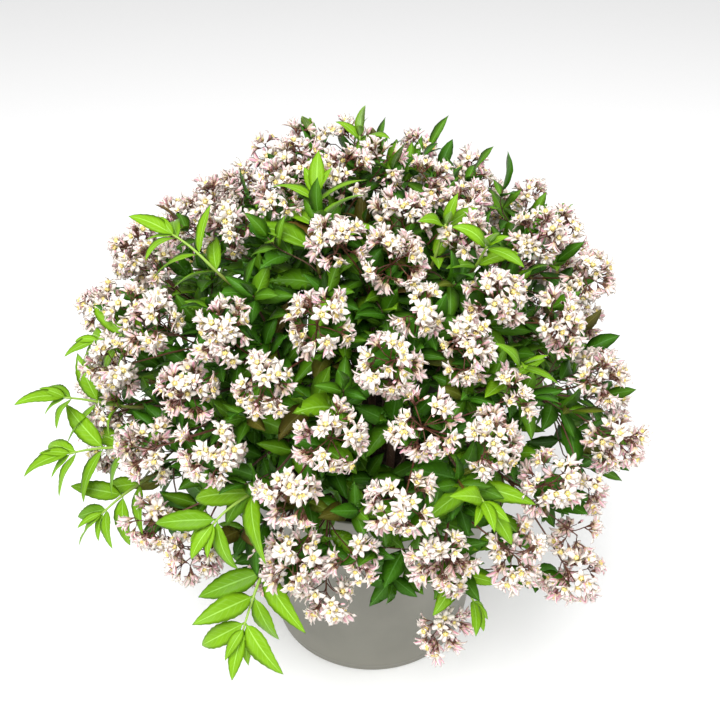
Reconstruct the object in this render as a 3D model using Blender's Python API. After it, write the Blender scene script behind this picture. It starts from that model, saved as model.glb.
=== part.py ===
"""Potted deutzia in full flower: a small shrub of arching canes in a round nursery pot.

Metres, +Z up, front towards -Y. The origin is the middle of the pot's underside.
The bush is laid out round one centre above the pot. A place on it is a bearing in
degrees round the pot from the front, positive to the right, a climb in degrees above
the level of that centre, and a reach in millimetres from it.
"""

import math
import random

import bpy
import bmesh
import numpy as np
from mathutils import Vector
from mathutils.bvhtree import BVHTree

MM = 0.001
CLEARANCE = 0.3 * MM
UP = np.array((0, 0, 1.0))

# The pot
POT_HEIGHT = 222 * MM
POT_BASE_RADIUS = 100 * MM
POT_RIM_RADIUS = 125 * MM
POT_WALL = 3 * MM
POT_FLOOR = 4 * MM
POT_SIDES = 32
LIP_HEIGHT = 12 * MM
LIP_DEPTH = 2.5 * MM
BASE_EDGE = 4 * MM
DRAIN_HOLES = 4
DRAIN_RADIUS = 6 * MM
DRAIN_SIDES = 6
DRAIN_CIRCLE = 68 * MM

# The soil
SOIL_LEVEL = 198 * MM
SOIL_ROUGHNESS = 2.5 * MM
SOIL_RINGS = 2
HOLE_DEPTH = 45 * MM

# The bush
BUSH_HEIGHT = 320 * MM

# The canes: the bearing of each, and where its foot and its top stand from the pot's axis
OUTER_CANES = (-65, -35, -8, 20, 60, 120, 180, 240)
INNER_CANES = (-50, 130)
OUTER_FOOT, OUTER_TOP, OUTER_TOP_HEIGHT, OUTER_LEAN = 46 * MM, 118 * MM, 350 * MM, 40
INNER_FOOT, INNER_TOP, INNER_TOP_HEIGHT, INNER_LEAN = 17 * MM, 42 * MM, 405 * MM, 70
CANE_FOOT_RADIUS = 4.2 * MM
CANE_TOP_RADIUS = 2.4 * MM
CANE_SIDES = 5
CANE_STEPS = 5
COLLAR = 8 * MM
INNER_FROM_CLIMB = 42
FIRST_TWIG, LAST_TWIG = 0.30, 0.96
TWIG_RADIUS = 1.7 * MM
TWIG_SIDES = 3
TWIG_STEPS = 3

# The flower trusses, each with the places of its heads
TRUSSES = (
    ((-95, 70, 190), (-50, 80, 188)),
    ((-64, 50, 198), (-96, 46, 200)),
    ((15, 67, 183), (60, 63, 183)),
    ((64, 46, 206), (67, 32, 218), (90, 36, 200)),
    ((-15, 56, 203), (7, 52, 202)),
    ((32, 40, 217), (46, 30, 222)),
    ((50, 17, 234), (49, 5, 246)),
    ((20, 32, 224), (2, 31, 227)),
    ((-14, 38, 219), (-22, 25, 235)),
    ((-34, 32, 232), (-38, 20, 240)),
    ((-52, 28, 238), (-57, 16, 250)),
    ((-77, 33, 236), (-74, 19, 246)),
    ((-63, -4, 251), (-71, 6, 248)),
    ((-43, 7, 252), (-29, 12, 247)),
    ((-8, 18, 240), (-15, 8, 247)),
    ((8, 20, 238), (4, 7, 250), (20, 16, 242)),
    ((-14, -5, 252), (-9, -16, 250)),
    ((10, -3, 258), (23, -5, 262)),
    ((34, -13, 276), (30, 6, 252)),
    ((14, -28, 258),),
    ((-32, -9, 262), (-44, -10, 256)),
    ((84, 15, 184), (102, 19, 183), (94, -3, 192)),
    ((121, 14, 200), (137, 25, 192), (126, -3, 212)),
    ((110, -11, 208), (127, -19, 225), (143, -8, 235)),
    ((150, 11, 215), (166, 20, 206), (164, 4, 228)),
    ((128, 45, 176), (165, 41, 172), (205, 41, 174)),
    ((172, -12, 236), (187, -2, 240), (203, -9, 238)),
    ((190, 18, 210), (207, 9, 222), (224, 21, 210)),
    ((228, 2, 236), (242, 9, 236), (251, -5, 238)),
    ((240, 42, 188), (252, 29, 212), (263, 21, 234)),
)
TRUSS_DEPTH = 72 * MM
FORK_LENGTH = 8 * MM
STALK_RADIUS = 1.5 * MM
HEAD_CORE = 8 * MM
HEAD_SIZES = (1.25, 1.17, 1.1, 1.0, 0.9, 0.8, 0.7, 0.6)
FLORET_RISE = 17 * MM
FLORET_RADIUS = 18 * MM
FLORET_NOTCH = 0.45
FLORET_DROP = 0.12
FLORET_TURNS = (0, 48, 0, 60)
HEAD_SPINS = 12
HEAD_MARGIN = 1.04

# The green shoots: the place of the foot, the place of the tip, the pairs of leaves,
# the length of the longest leaf in millimetres and how far the tip sags in millimetres
SHOOTS = (
    ((-150, 79, 150), (-160, 82, 226), 3, 40, 0),
    ((-150, 58, 150), (-128, 70, 225), 2, 34, 0),
    ((-25, 52, 165), (-43, 73, 225), 3, 56, 0),
    ((-47, 40, 190), (-66, 43, 272), 3, 44, 10),
    ((-60, 22, 205), (-68, 15, 282), 3, 48, 10),
    ((-60, 4, 215), (-63, 10, 318), 3, 44, 4),
    ((-54, -1, 220), (-58, 2, 326), 3, 52, 8),
    ((-53, -8, 225), (-52, -10, 312), 3, 46, 8),
    ((-22, 4, 215), (-29, -1, 290), 2, 55, 14),
    ((-21, -12, 225), (-21, -18, 326), 3, 58, 14),
    ((27, 54, 155), (35, 62, 220), 2, 42, 0),
    ((38, 48, 175), (36, 51, 235), 2, 38, 0),
    ((30, 21, 190), (31, 29, 252), 2, 40, 4),
    ((18, 5, 210), (16, 9, 288), 2, 50, 6),
    ((15, -14, 225), (18, -16, 285), 2, 38, 10),
    ((104, 32, 165), (104, 36, 222), 2, 40, 4),
    ((155, -4, 205), (156, -3, 275), 3, 46, 8),
    ((216, -2, 205), (217, 1, 280), 3, 46, 8),
)
SHOOT_RADIUS = 1.3 * MM
SHOOT_SIDES = 3
SHOOT_STEPS = 3
STEM_SHARE = 0.62
PAIR_STAGGER = 0.4 * MM
FIRST_PAIR, LAST_PAIR = 0.30, 0.92
PAIR_TAPER = 0.3
PAIR_ROLL = 50

# Leaves
LEAF_THICKNESS = 1.3 * MM
LEAF_WIDTH = 0.36
LEAF_FOLD = 0.18
LEAF_BEND = 0.16
ROOT_LENGTH = 4 * MM
LEAF_MARGIN = 0.6 * MM
RIB_STEPS = (0.0, 0.45)
OUTWARD_TILT = 0.3
LEAF_OPENING = 54
LEAF_DROOP = 0.12
LEAF_SIZES = (1.0, 0.88, 0.76, 0.64)
LEAF_SPREADS = (0, 12, -12, 24, -24, 36, -36)
CANE_LEAVES = 5
CANE_LEAF_LENGTH = 54 * MM
CANE_LEAF_TRIES = 40

# The ways of joining and splitting faces, in the order they are tried
FUSE_ORDER = (("EXACT", "BEAUTY"), ("EXACT", "EAR_CLIP"), ("MANIFOLD", "BEAUTY"))

SEED = 7


def material(name, colour, roughness):
    """A plain surface in one colour."""
    surface = bpy.data.materials.new(name)
    surface.use_nodes = True
    shader = surface.node_tree.nodes["Principled BSDF"]
    shader.inputs["Base Color"].default_value = (*colour, 1.0)
    shader.inputs["Roughness"].default_value = roughness
    surface.diffuse_color = (*colour, 1.0)
    return surface


def unit(vector):
    """The vector at length one."""
    return vector / np.linalg.norm(vector)


def spot(place):
    """The point of the bush at a bearing, climb and reach."""
    bearing, climb = math.radians(place[0]), math.radians(place[1])
    level = place[2] * MM * math.cos(climb)
    rise = place[2] * MM * math.sin(climb)
    return np.array([level * math.sin(bearing), -level * math.cos(bearing), BUSH_HEIGHT + rise])


def round_pot(bearing, radius, height):
    """The point at a bearing in degrees, a radius and a height round the pot's axis."""
    turn = math.radians(bearing)
    return np.array([radius * math.sin(turn), -radius * math.cos(turn), height])


def curve(start, start_way, end, end_way, steps, slack=0.38):
    """Points along a smooth arc that leaves start along one way and reaches end along another."""
    pull = slack * np.linalg.norm(end - start)
    first, last = start + pull * start_way, end - pull * end_way
    t = np.linspace(0, 1, steps + 1)[:, None]
    return (1 - t)**3 * start + 3 * (1 - t)**2 * t * first + 3 * (1 - t) * t**2 * last + t**3 * end


def ways_along(points, start_way=None, end_way=None):
    """The direction of the path at each of its points."""
    ways = np.gradient(points, axis=0)
    ways /= np.linalg.norm(ways, axis=1)[:, None]
    if start_way is not None:
        ways[0] = start_way
    if end_way is not None:
        ways[-1] = end_way
    return ways


def bar(points, radii, sides, start_way=None, end_way=None):
    """A closed round bar along the points, cut square at both ends."""
    ways = ways_along(points, start_way, end_way)
    side = unit(np.cross(ways[0], (0.31, 0.22, 0.92)))
    turns = np.arange(sides) * 2 * math.pi / sides
    corners = []
    for point, way, radius in zip(points, ways, np.broadcast_to(radii, len(points))):
        side = unit(side - way * np.dot(side, way))
        across = np.cross(way, side)
        corners.extend(point + radius * (math.cos(a) * side + math.sin(a) * across) for a in turns)
    faces = [tuple(range(sides))[::-1], tuple(len(corners) - sides + i for i in range(sides))]
    for ring in range(len(points) - 1):
        for i in range(sides):
            a, b = ring * sides + i, ring * sides + (i + 1) % sides
            faces += [(a, b, b + sides), (a, b + sides, a + sides)]
    return np.array(corners), faces


def leaf(foot, way, upper, length, width=LEAF_WIDTH, bend=LEAF_BEND, grow=0.0):
    """A closed pointed leaf with toothed edges, folded along its rib and bent back to its tip."""
    across = unit(np.cross(upper, way))
    upper = np.cross(way, across)
    teeth = ((0.16, 0.62), (0.42, 1.0), (0.48, 0.80), (0.74, 0.62))
    half = 0.5 * width * length + grow
    reach = length + grow

    def at(along, out, lift):
        level = lift + LEAF_FOLD * abs(out) * half - bend * along**2 * reach
        return foot + way * along * reach + across * out * half + upper * level

    thick = 0.5 * LEAF_THICKNESS + grow
    corners = [at(along, out, 0) for along, out in teeth]
    corners += [at(along, -out, 0) for along, out in teeth]
    corners += [at(1, 0, 0)]
    corners += [at(along, 0, thick) for along in RIB_STEPS]
    corners += [at(along, 0, -thick) for along in RIB_STEPS]
    tip, foot_top, rib = 8, 9, 10
    half_top = [(foot_top, 0, rib), (0, 1, rib), (1, 2, rib), (2, 3, rib), (3, tip, rib)]
    other = {0: 4, 1: 5, 2: 6, 3: 7}
    top = [face[::-1] for face in half_top]
    top += [tuple(other.get(i, i) for i in face) for face in half_top]
    ribs = len(RIB_STEPS)
    under = [tuple(i + ribs if i >= foot_top else i for i in face[::-1]) for face in top]
    foot_under = foot_top + ribs
    ends = [(foot_top, 0, foot_under), (foot_top, foot_under, 4)]
    return np.array(corners), top + under + ends


def octahedron(centre, axis, side, radius):
    """Eight-sided core with one face square to the axis, as six corners and its eight faces."""
    across = np.cross(axis, side)
    ring = radius * math.sqrt(2 / 3)
    height = radius / math.sqrt(3)
    corners = []
    for level, offset in ((height, 0), (-height, math.pi / 3)):
        for i in range(3):
            a = offset + i * 2 * math.pi / 3
            corners.append(centre + axis * level + ring * (math.cos(a) * side + math.sin(a) * across))
    upper = [(0, 1, 2)]
    flank = [(i, i + 3, (i + 1) % 3) for i in range(3)]
    lower = [((i + 1) % 3, i + 3, 3 + (i + 1) % 3) for i in range(3)]
    return corners, upper + flank, lower + [(5, 4, 3)]


def floret(corners, face, size, turn):
    """A five-petalled star that opens out of one face of the core, as new corners and faces."""
    a, b, c = (corners[i] for i in face)
    middle = (a + b + c) / 3
    axis = unit(np.cross(b - a, c - a))
    side = unit(a - middle)
    across = np.cross(axis, side)
    first = len(corners)
    angles = []
    for k in range(10):
        angle = math.radians(turn + 36 * k)
        out = FLORET_RADIUS * size * (FLORET_NOTCH if k % 2 else 1.0)
        level = FLORET_RISE * size - (0 if k % 2 else FLORET_DROP * out)
        corners.append(middle + axis * level + out * (math.cos(angle) * side + math.sin(angle) * across))
        angles.append(angle % (2 * math.pi))
    star = [first + k for k in range(10)]
    notches = star[1::2]
    faces = [tuple(notches)]
    faces += [(star[k], star[(k + 1) % 10], star[k - 1]) for k in range(0, 10, 2)]
    owner = [round(angle / (2 * math.pi / 3)) % 3 for angle in angles]
    for k in range(10):
        after = (k + 1) % 10
        faces.append((star[after], star[k], face[owner[k]]))
        if owner[after] != owner[k]:
            faces.append((face[owner[k]], face[owner[after]], star[after]))
    return faces


def head(centre, axis, spin, size):
    """A flower head: stars that stand out of the upper faces of a small core."""
    side = unit(np.cross(axis, (0.2, 0.3, 0.93)))
    side = math.cos(spin) * side + math.sin(spin) * np.cross(axis, side)
    corners, open_faces, faces = octahedron(centre, axis, side, HEAD_CORE * size)
    for face, turn in zip(open_faces, FLORET_TURNS):
        faces += floret(corners, face, size, turn)
    return np.array(corners), faces


def tree_of(pieces):
    """A search tree over the faces of several pieces."""
    corners, faces = [], []
    for points, polygons in pieces:
        faces += [tuple(i + len(corners) for i in polygon) for polygon in polygons]
        corners += [Vector(point) for point in points]
    return BVHTree.FromPolygons(corners, faces, all_triangles=False)


def is_clear(piece, trees):
    """Whether the piece crosses none of the trees."""
    own = tree_of([piece])
    return not any(own.overlap(tree) for tree in trees)


def to_mesh(name, piece):
    """A Blender mesh of one piece."""
    mesh = bpy.data.meshes.new(name)
    points, faces = piece
    mesh.from_pydata([tuple(point) for point in points], [], faces)
    mesh.validate()
    return mesh


def add_object(name, mesh, surface, collection=None):
    """An object with one material, in the scene or in the given collection."""
    thing = bpy.data.objects.new(name, mesh)
    mesh.materials.clear()
    mesh.materials.append(surface)
    (collection or bpy.context.scene.collection).objects.link(thing)
    return thing


def is_closed(mesh):
    """Whether every edge of the mesh joins two faces."""
    form = bmesh.new()
    form.from_mesh(mesh)
    closed = bool(form.faces) and all(len(edge.link_faces) == 2 for edge in form.edges)
    form.free()
    return closed


def keep_largest_body(mesh, corner_rule):
    """Splits the faces into triangles and deletes the loose scraps that a union can leave."""
    form = bmesh.new()
    form.from_mesh(mesh)
    bmesh.ops.dissolve_degenerate(form, dist=0.000001, edges=form.edges)
    bmesh.ops.triangulate(form, faces=form.faces, ngon_method=corner_rule)
    unseen, bodies = set(form.verts), []
    while unseen:
        body, edge_of_search = set(), [unseen.pop()]
        while edge_of_search:
            corner = edge_of_search.pop()
            body.add(corner)
            near = {edge.other_vert(corner) for edge in corner.link_edges} & unseen
            unseen -= near
            edge_of_search.extend(near)
        bodies.append(body)
    bodies.sort(key=len)
    scraps = [corner for body in bodies[:-1] for corner in body]
    bmesh.ops.delete(form, geom=scraps, context="VERTS")
    form.to_mesh(mesh)
    form.free()


def fuse(name, pieces, surface):
    """One closed body made from pieces that run into each other."""
    for solver, corner_rule in FUSE_ORDER:
        body = add_object(name, to_mesh(name, pieces[0]), surface)
        group = bpy.data.collections.new(name + "_repeats")
        bpy.context.scene.collection.children.link(group)
        for number, piece in enumerate(pieces[1:]):
            add_object(f"{name}_{number}", to_mesh(f"{name}_{number}", piece), surface, group)
        join = body.modifiers.new("join", "BOOLEAN")
        join.operation = "UNION"
        join.operand_type = "COLLECTION"
        join.collection = group
        join.solver = solver
        bpy.context.view_layer.update()
        graph = bpy.context.evaluated_depsgraph_get()
        mesh = bpy.data.meshes.new_from_object(body.evaluated_get(graph))
        body.modifiers.clear()
        body.data = mesh
        for repeat in list(group.objects):
            bpy.data.objects.remove(repeat)
        bpy.data.collections.remove(group)
        keep_largest_body(mesh, corner_rule)
        if is_closed(mesh):
            return body
        bpy.data.objects.remove(body)
    raise RuntimeError(f"{name} doesn't join into one closed body")


def pot(surface):
    """The pot: a tapered shell with a rolled lip, a soft base edge and drain holes."""
    slope = (POT_RIM_RADIUS - LIP_DEPTH - POT_BASE_RADIUS) / POT_HEIGHT
    under_lip = POT_HEIGHT - LIP_HEIGHT
    wall_top = POT_BASE_RADIUS + slope * under_lip
    profile = [
        (0, POT_FLOOR),
        (inside_radius(POT_FLOOR), POT_FLOOR),
        (inside_radius(POT_HEIGHT), POT_HEIGHT),
        (POT_RIM_RADIUS - LIP_DEPTH / 2, POT_HEIGHT),
        (POT_RIM_RADIUS, POT_HEIGHT - LIP_DEPTH / 2),
        (POT_RIM_RADIUS - slope * LIP_HEIGHT, under_lip),
        (wall_top, under_lip),
    ]
    for angle in (0, 45, 90):
        turn = math.radians(angle)
        out = POT_BASE_RADIUS - BASE_EDGE + BASE_EDGE * math.cos(turn)
        profile.append((out, BASE_EDGE - BASE_EDGE * math.sin(turn)))
    profile.append((0, 0))
    mesh = bpy.data.meshes.new("pot")
    edges = [(i, i + 1) for i in range(len(profile) - 1)]
    mesh.from_pydata([(out, 0, level) for out, level in profile], edges, [])
    body = add_object("pot", mesh, surface)
    turned = body.modifiers.new("turn", "SCREW")
    turned.steps = turned.render_steps = POT_SIDES
    turned.use_merge_vertices = True
    turned.merge_threshold = 0.00001
    drains = []
    for number in range(DRAIN_HOLES):
        bearing = 360 * number / DRAIN_HOLES
        ends = np.array([round_pot(bearing, DRAIN_CIRCLE, level) for level in (-POT_FLOOR, 2 * POT_FLOOR)])
        drains.append(bar(ends, DRAIN_RADIUS, DRAIN_SIDES))
    cut(body, "drains", drains)
    return body


def inside_radius(level):
    """The radius of the pot's inner wall at a height."""
    slope = (POT_RIM_RADIUS - LIP_DEPTH - POT_BASE_RADIUS) / POT_HEIGHT
    return POT_BASE_RADIUS + slope * level - POT_WALL


def cut(body, name, pieces):
    """Cuts the pieces, which stay clear of each other, out of the body."""
    points, faces = [], []
    for corners, polygons in pieces:
        faces += [tuple(i + len(points) for i in polygon) for polygon in polygons]
        points += list(corners)
    cutter = add_object(name, to_mesh(name, (points, faces)), body.data.materials[0])
    cutter.hide_render = True
    cutter.display_type = "WIRE"
    hollow = body.modifiers.new(name, "BOOLEAN")
    hollow.operation = "DIFFERENCE"
    hollow.solver = "EXACT"
    hollow.object = cutter


def soil(surface, canes):
    """The soil that fills the pot to below its lip, with a crumbly top and a hole for each cane."""
    draw = random.Random(SEED)
    bottom = POT_FLOOR + CLEARANCE
    profile = [(0, SOIL_LEVEL)]
    profile += [(inside_radius(SOIL_LEVEL) * ring / SOIL_RINGS, SOIL_LEVEL) for ring in range(1, SOIL_RINGS)]
    profile += [(inside_radius(level) - CLEARANCE, level) for level in (SOIL_LEVEL, bottom)]
    points, faces = [], []
    for number, (out, level) in enumerate(profile):
        crumbly = 0 < number < SOIL_RINGS
        for step in range(POT_SIDES if number else 1):
            bump = draw.uniform(-SOIL_ROUGHNESS, SOIL_ROUGHNESS) if crumbly else 0
            points.append(round_pot(360 * step / POT_SIDES, out, level + bump))
    first = [1 + ring * POT_SIDES for ring in range(len(profile) - 1)]
    for step in range(POT_SIDES):
        after = (step + 1) % POT_SIDES
        faces.append((0, 1 + step, 1 + after))
        for ring in first[:-1]:
            faces.append((ring + step, ring + POT_SIDES + step, ring + POT_SIDES + after))
            faces.append((ring + step, ring + POT_SIDES + after, ring + after))
    faces.append(tuple(first[-1] + step for step in range(POT_SIDES))[::-1])
    body = add_object("soil", to_mesh("soil", (points, faces)), surface)
    holes = []
    for cane in canes:
        foot = cane["path"][0]
        ends = np.array([foot - (0, 0, CLEARANCE), foot + (0, 0, 2 * HOLE_DEPTH)])
        holes.append(bar(ends, CANE_FOOT_RADIUS + 1.2 * CLEARANCE, CANE_SIDES))
    cut(body, "cane_holes", holes)
    return body


def cane_path(bearing, foot, top, top_height, lean):
    """The line of one cane: upright in its hole, then arching out to its top."""
    lean = math.radians(lean)
    base = round_pot(bearing, foot, SOIL_LEVEL - HOLE_DEPTH + CLEARANCE)
    collar = round_pot(bearing, foot, SOIL_LEVEL + COLLAR)
    end = round_pot(bearing, top, top_height)
    outwards = round_pot(bearing, math.cos(lean), math.sin(lean))
    return np.vstack((base, curve(collar, UP, end, outwards, CANE_STEPS)))


def lay_out_canes():
    """The canes with their lines, and the trusses and shoots that each of them carries."""
    canes = [
        {"bearing": bearing, "path": cane_path(bearing, OUTER_FOOT, OUTER_TOP, OUTER_TOP_HEIGHT, OUTER_LEAN)}
        for bearing in OUTER_CANES
    ]
    canes += [
        {"bearing": bearing, "path": cane_path(bearing, INNER_FOOT, INNER_TOP, INNER_TOP_HEIGHT, INNER_LEAN)}
        for bearing in INNER_CANES
    ]
    middle = np.array((0, 0, BUSH_HEIGHT))
    for cane in canes:
        cane["twigs"] = []
    for number, places in enumerate(TRUSSES):
        heads = [spot(place) for place in places]
        way = unit(np.mean(heads, axis=0) - middle)
        joint = np.mean(heads, axis=0) - way * TRUSS_DEPTH
        carry(canes, {"name": f"truss_{number + 1:02d}", "joint": joint, "way": way})
    for number, (foot, tip, *_) in enumerate(SHOOTS):
        joint = spot(foot)
        way = unit(unit(spot(tip) - joint) + unit(joint - middle))
        carry(canes, {"name": f"shoot_{number + 1:02d}", "joint": joint, "way": way})
    for cane in canes:
        cane["twigs"].sort(key=lambda twig: twig["climb"])
        shares = np.linspace(FIRST_TWIG, LAST_TWIG, len(cane["twigs"]))
        for twig, share in zip(cane["twigs"], shares):
            twig["path"] = twig_path(cane["path"], share, twig["joint"], twig["way"])
    return canes


def carry(canes, twig):
    """Gives a twig to the cane that stands nearest below its joint."""
    out = twig["joint"] - (0, 0, BUSH_HEIGHT)
    twig["climb"] = math.degrees(math.atan2(out[2], math.hypot(out[0], out[1])))
    bearing = math.degrees(math.atan2(out[0], -out[1]))
    inner = twig["climb"] > INNER_FROM_CLIMB
    choice = canes[len(OUTER_CANES):] if inner else canes[:len(OUTER_CANES)]
    nearest = min(choice, key=lambda cane: abs((cane["bearing"] - bearing + 180) % 360 - 180))
    nearest["twigs"].append(twig)


def twig_path(path, share, joint, way):
    """The line of a twig, from inside its cane to the joint that it reaches along the given way."""
    place = 1 + share * (len(path) - 2)
    before = min(int(place), len(path) - 2)
    start = path[before] + (place - before) * (path[before + 1] - path[before])
    leave = unit(unit(path[before + 1] - path[before]) + unit(joint - start))
    return curve(start, leave, joint, way, TWIG_STEPS)


def cane_wood(cane):
    """The bars of one cane and its twigs."""
    path = cane["path"]
    shares = np.linspace(0, 1, len(path))
    radii = CANE_FOOT_RADIUS + shares * (CANE_TOP_RADIUS - CANE_FOOT_RADIUS)
    radii[:2] = CANE_FOOT_RADIUS
    wood = [bar(path, radii, CANE_SIDES, start_way=UP)]
    for twig in cane["twigs"]:
        wood.append(bar(twig["path"], TWIG_RADIUS, TWIG_SIDES, end_way=twig["way"]))
    return wood


def truss_pieces(places, joint, way, trees, draw):
    """A forked stalk with a flower head at each of its places."""
    start = joint + way * CLEARANCE
    fork = start + way * FORK_LENGTH
    centres = [spot(place) for place in places]
    pieces = [forked_stalk(start, fork, way, centres)]
    for centre in centres:
        pieces.append(clear_head(centre, unit(centre - fork), trees, pieces, draw))
    return pieces


def forked_stalk(start, fork, way, ends):
    """A three-sided stalk that opens at its fork, one face for each of up to three branches.

    The fork is a low pyramid on the stalk's top ring. A branch carries one of its three
    faces on to the branch's end, and the branches keep their order round the stalk.
    """
    level = unit(np.cross(way, np.cross(ends[0] - fork, way) + 1e-9))
    across = np.cross(way, level)
    ring = []
    for turn in (-60, 60, 180):
        turn = math.radians(turn)
        ring.append(TWIG_RADIUS * (math.cos(turn) * level + math.sin(turn) * across))
    corners = [start + out for out in ring] + [fork + out for out in ring] + [fork + way * TWIG_RADIUS]
    faces = [(2, 1, 0)]
    for a, b in ((0, 1), (1, 2), (2, 0)):
        faces += [(a, b, b + 3), (a, b + 3, a + 3)]
    bearings = []
    for end in ends:
        out = end - fork
        bearings.append(math.atan2(np.dot(out, across), np.dot(out, level)) % (2 * math.pi))
    order = sorted(range(1, len(ends)), key=lambda i: bearings[i])
    second_is_left = len(order) == 1 and bearings[order[0]] > math.pi
    taken = {2: order[0]} if second_is_left else {i + 1: end for i, end in enumerate(order)}
    taken[0] = 0
    for side, face in enumerate(((3, 4, 6), (4, 5, 6), (5, 3, 6))):
        if side not in taken:
            faces.append(face)
            continue
        end = ends[taken[side]]
        branch = unit(end - fork)
        middle = sum(corners[i] for i in face) / 3
        tip = len(corners)
        for i in face:
            out = corners[i] - middle
            corners.append(end + STALK_RADIUS * unit(out - branch * np.dot(out, branch)))
        faces.append((tip, tip + 1, tip + 2))
        for i, j in ((0, 1), (1, 2), (2, 0)):
            faces += [(face[i], face[j], tip + j), (face[i], tip + j, tip + i)]
    return np.array(corners), faces


def clear_head(centre, axis, trees, pieces, draw):
    """A flower head turned, and made smaller where it must be, so that it crosses nothing."""
    others = trees + [tree_of([piece]) for piece in pieces[1:]]
    for size in HEAD_SIZES:
        for _ in range(HEAD_SPINS):
            spin = draw.uniform(0, 2 * math.pi)
            if is_clear(head(centre, axis, spin, HEAD_MARGIN * size), others):
                return head(centre, axis, spin, size)
    raise RuntimeError(f"no room for the head at {centre}")


def shoot_pieces(row, joint, way, trees, draw):
    """A green stem with leaves in opposite pairs and one leaf at its tip."""
    _, tip_place, pairs, longest, sag = row
    tip = spot(tip_place)
    end = joint + STEM_SHARE * (tip - joint)
    reach = unit(tip - end - (0, 0, sag * MM))
    start = joint + way * CLEARANCE
    line = curve(start, way, end, reach, SHOOT_STEPS)
    radii = np.linspace(TWIG_RADIUS, SHOOT_RADIUS, len(line))
    stem = bar(line, radii, SHOOT_SIDES, start_way=way)
    pieces = [stem]
    facing = UP + OUTWARD_TILT * unit(end * (1, 1, 0))
    pieces.append(leaf(end - reach * SHOOT_RADIUS, reach, facing, np.linalg.norm(tip - end)))
    ways = ways_along(line)
    for pair in range(pairs):
        share = FIRST_PAIR + (LAST_PAIR - FIRST_PAIR) * pair / max(pairs - 1, 1)
        place = share * (len(line) - 1)
        before = min(int(place), len(line) - 2)
        foot = line[before] + (place - before) * (line[before + 1] - line[before])
        stem_way = ways[before]
        level = unit(np.cross(stem_way, UP))
        lift = np.cross(level, stem_way)
        length = longest * MM * (1 - PAIR_TAPER * pair / pairs)
        for side in (-1, 1):
            root = foot + side * PAIR_STAGGER * stem_way
            roll = side * PAIR_ROLL * (pair % 2)
            blade = clear_leaf(root, stem_way, side * level, lift, length, roll, trees, pieces[1:], draw)
            if blade is not None:
                pieces.append(blade)
    return pieces


def clear_leaf(foot, stem_way, level, lift, length, roll, trees, blades, draw):
    """A leaf that stands off its stem, turned or shortened until it crosses nothing."""
    others = trees + [tree_of([blade]) for blade in blades]
    upper = unit(stem_way + 1.5 * UP + 0.4 * unit(foot * (1, 1, 0)))
    for size in LEAF_SIZES:
        for spread in LEAF_SPREADS:
            turn = math.radians(roll + spread + draw.uniform(-4, 4))
            side = math.cos(turn) * level + math.sin(turn) * lift
            opening = math.radians(LEAF_OPENING - abs(spread) / 3)
            way = unit(math.cos(opening) * stem_way + math.sin(opening) * side - LEAF_DROOP * UP)
            blade = leaf(foot, way, upper, size * length)
            wide_blade = leaf(foot + ROOT_LENGTH * way, way, upper, size * length, grow=LEAF_MARGIN)
            if is_clear(blade, trees) and is_clear(wide_blade, others):
                return blade
    return None


def cane_leaves(cane, trees, draw):
    """The dark leaves near the ends of a cane's twigs."""
    blades = []
    tries = 0
    while len(blades) < CANE_LEAVES and tries < CANE_LEAF_TRIES:
        tries += 1
        twig = cane["twigs"][tries % len(cane["twigs"])]
        line = twig["path"]
        share = draw.uniform(0.45, 0.95) * (len(line) - 1)
        before = int(share)
        foot = line[before] + (share - before) * (line[before + 1] - line[before])
        stem_way = unit(line[before + 1] - line[before])
        level = unit(np.cross(stem_way, UP))
        lift = np.cross(level, stem_way)
        roll = draw.choice((0, 180)) + draw.uniform(-60, 60)
        length = CANE_LEAF_LENGTH * draw.uniform(0.9, 1.15)
        blade = clear_leaf(foot, stem_way, level, lift, length, roll, trees, blades, draw)
        if blade is not None:
            blades.append(blade)
    return blades


def main():
    """Clears the scene and builds the pot, the soil, the canes, the trusses and the shoots."""
    for thing in list(bpy.data.objects):
        bpy.data.objects.remove(thing)
    plastic = material("warm grey plastic", (0.23, 0.225, 0.19), 0.5)
    earth = material("soil", (0.035, 0.022, 0.014), 0.95)
    bark = material("dark twigs and leaves", (0.04, 0.16, 0.015), 0.5)
    petals = material("blush petals", (0.85, 0.68, 0.68), 0.6)
    lime = material("young green leaves", (0.16, 0.42, 0.02), 0.5)
    canes = lay_out_canes()
    pot(plastic)
    soil(earth, canes)
    wood = [cane_wood(cane) for cane in canes]
    trees = {f"cane_{number + 1:02d}": tree_of(pieces) for number, pieces in enumerate(wood)}
    twigs = {twig["name"]: twig for cane in canes for twig in cane["twigs"]}
    bodies = {}
    for number, places in enumerate(TRUSSES):
        twig = twigs[f"truss_{number + 1:02d}"]
        draw = random.Random(SEED + number)
        pieces = truss_pieces(places, twig["joint"], twig["way"], list(trees.values()), draw)
        bodies[twig["name"]] = (pieces, petals)
        trees[twig["name"]] = tree_of(pieces)
    for number, row in enumerate(SHOOTS):
        twig = twigs[f"shoot_{number + 1:02d}"]
        draw = random.Random(SEED + 100 + number)
        pieces = shoot_pieces(row, twig["joint"], twig["way"], list(trees.values()), draw)
        bodies[twig["name"]] = (pieces, lime)
        trees[twig["name"]] = tree_of(pieces)
    for number, cane in enumerate(canes):
        name = f"cane_{number + 1:02d}"
        others = [tree for other, tree in trees.items() if other != name]
        leaves = cane_leaves(cane, others, random.Random(SEED + 200 + number))
        bodies[name] = (wood[number] + leaves, bark)
        trees[name] = tree_of(wood[number] + leaves)
    for name, (pieces, surface) in bodies.items():
        fuse(name, pieces, surface)


main()
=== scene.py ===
"""The looks of a potted deutzia in full flower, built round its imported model.

Metres, +Z up, front towards -Y. A place on the bush is a bearing in degrees round the pot from
the front, positive to the right, a climb in degrees above the level of the bush's centre, and a
reach in millimetres from that centre.
"""

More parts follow.
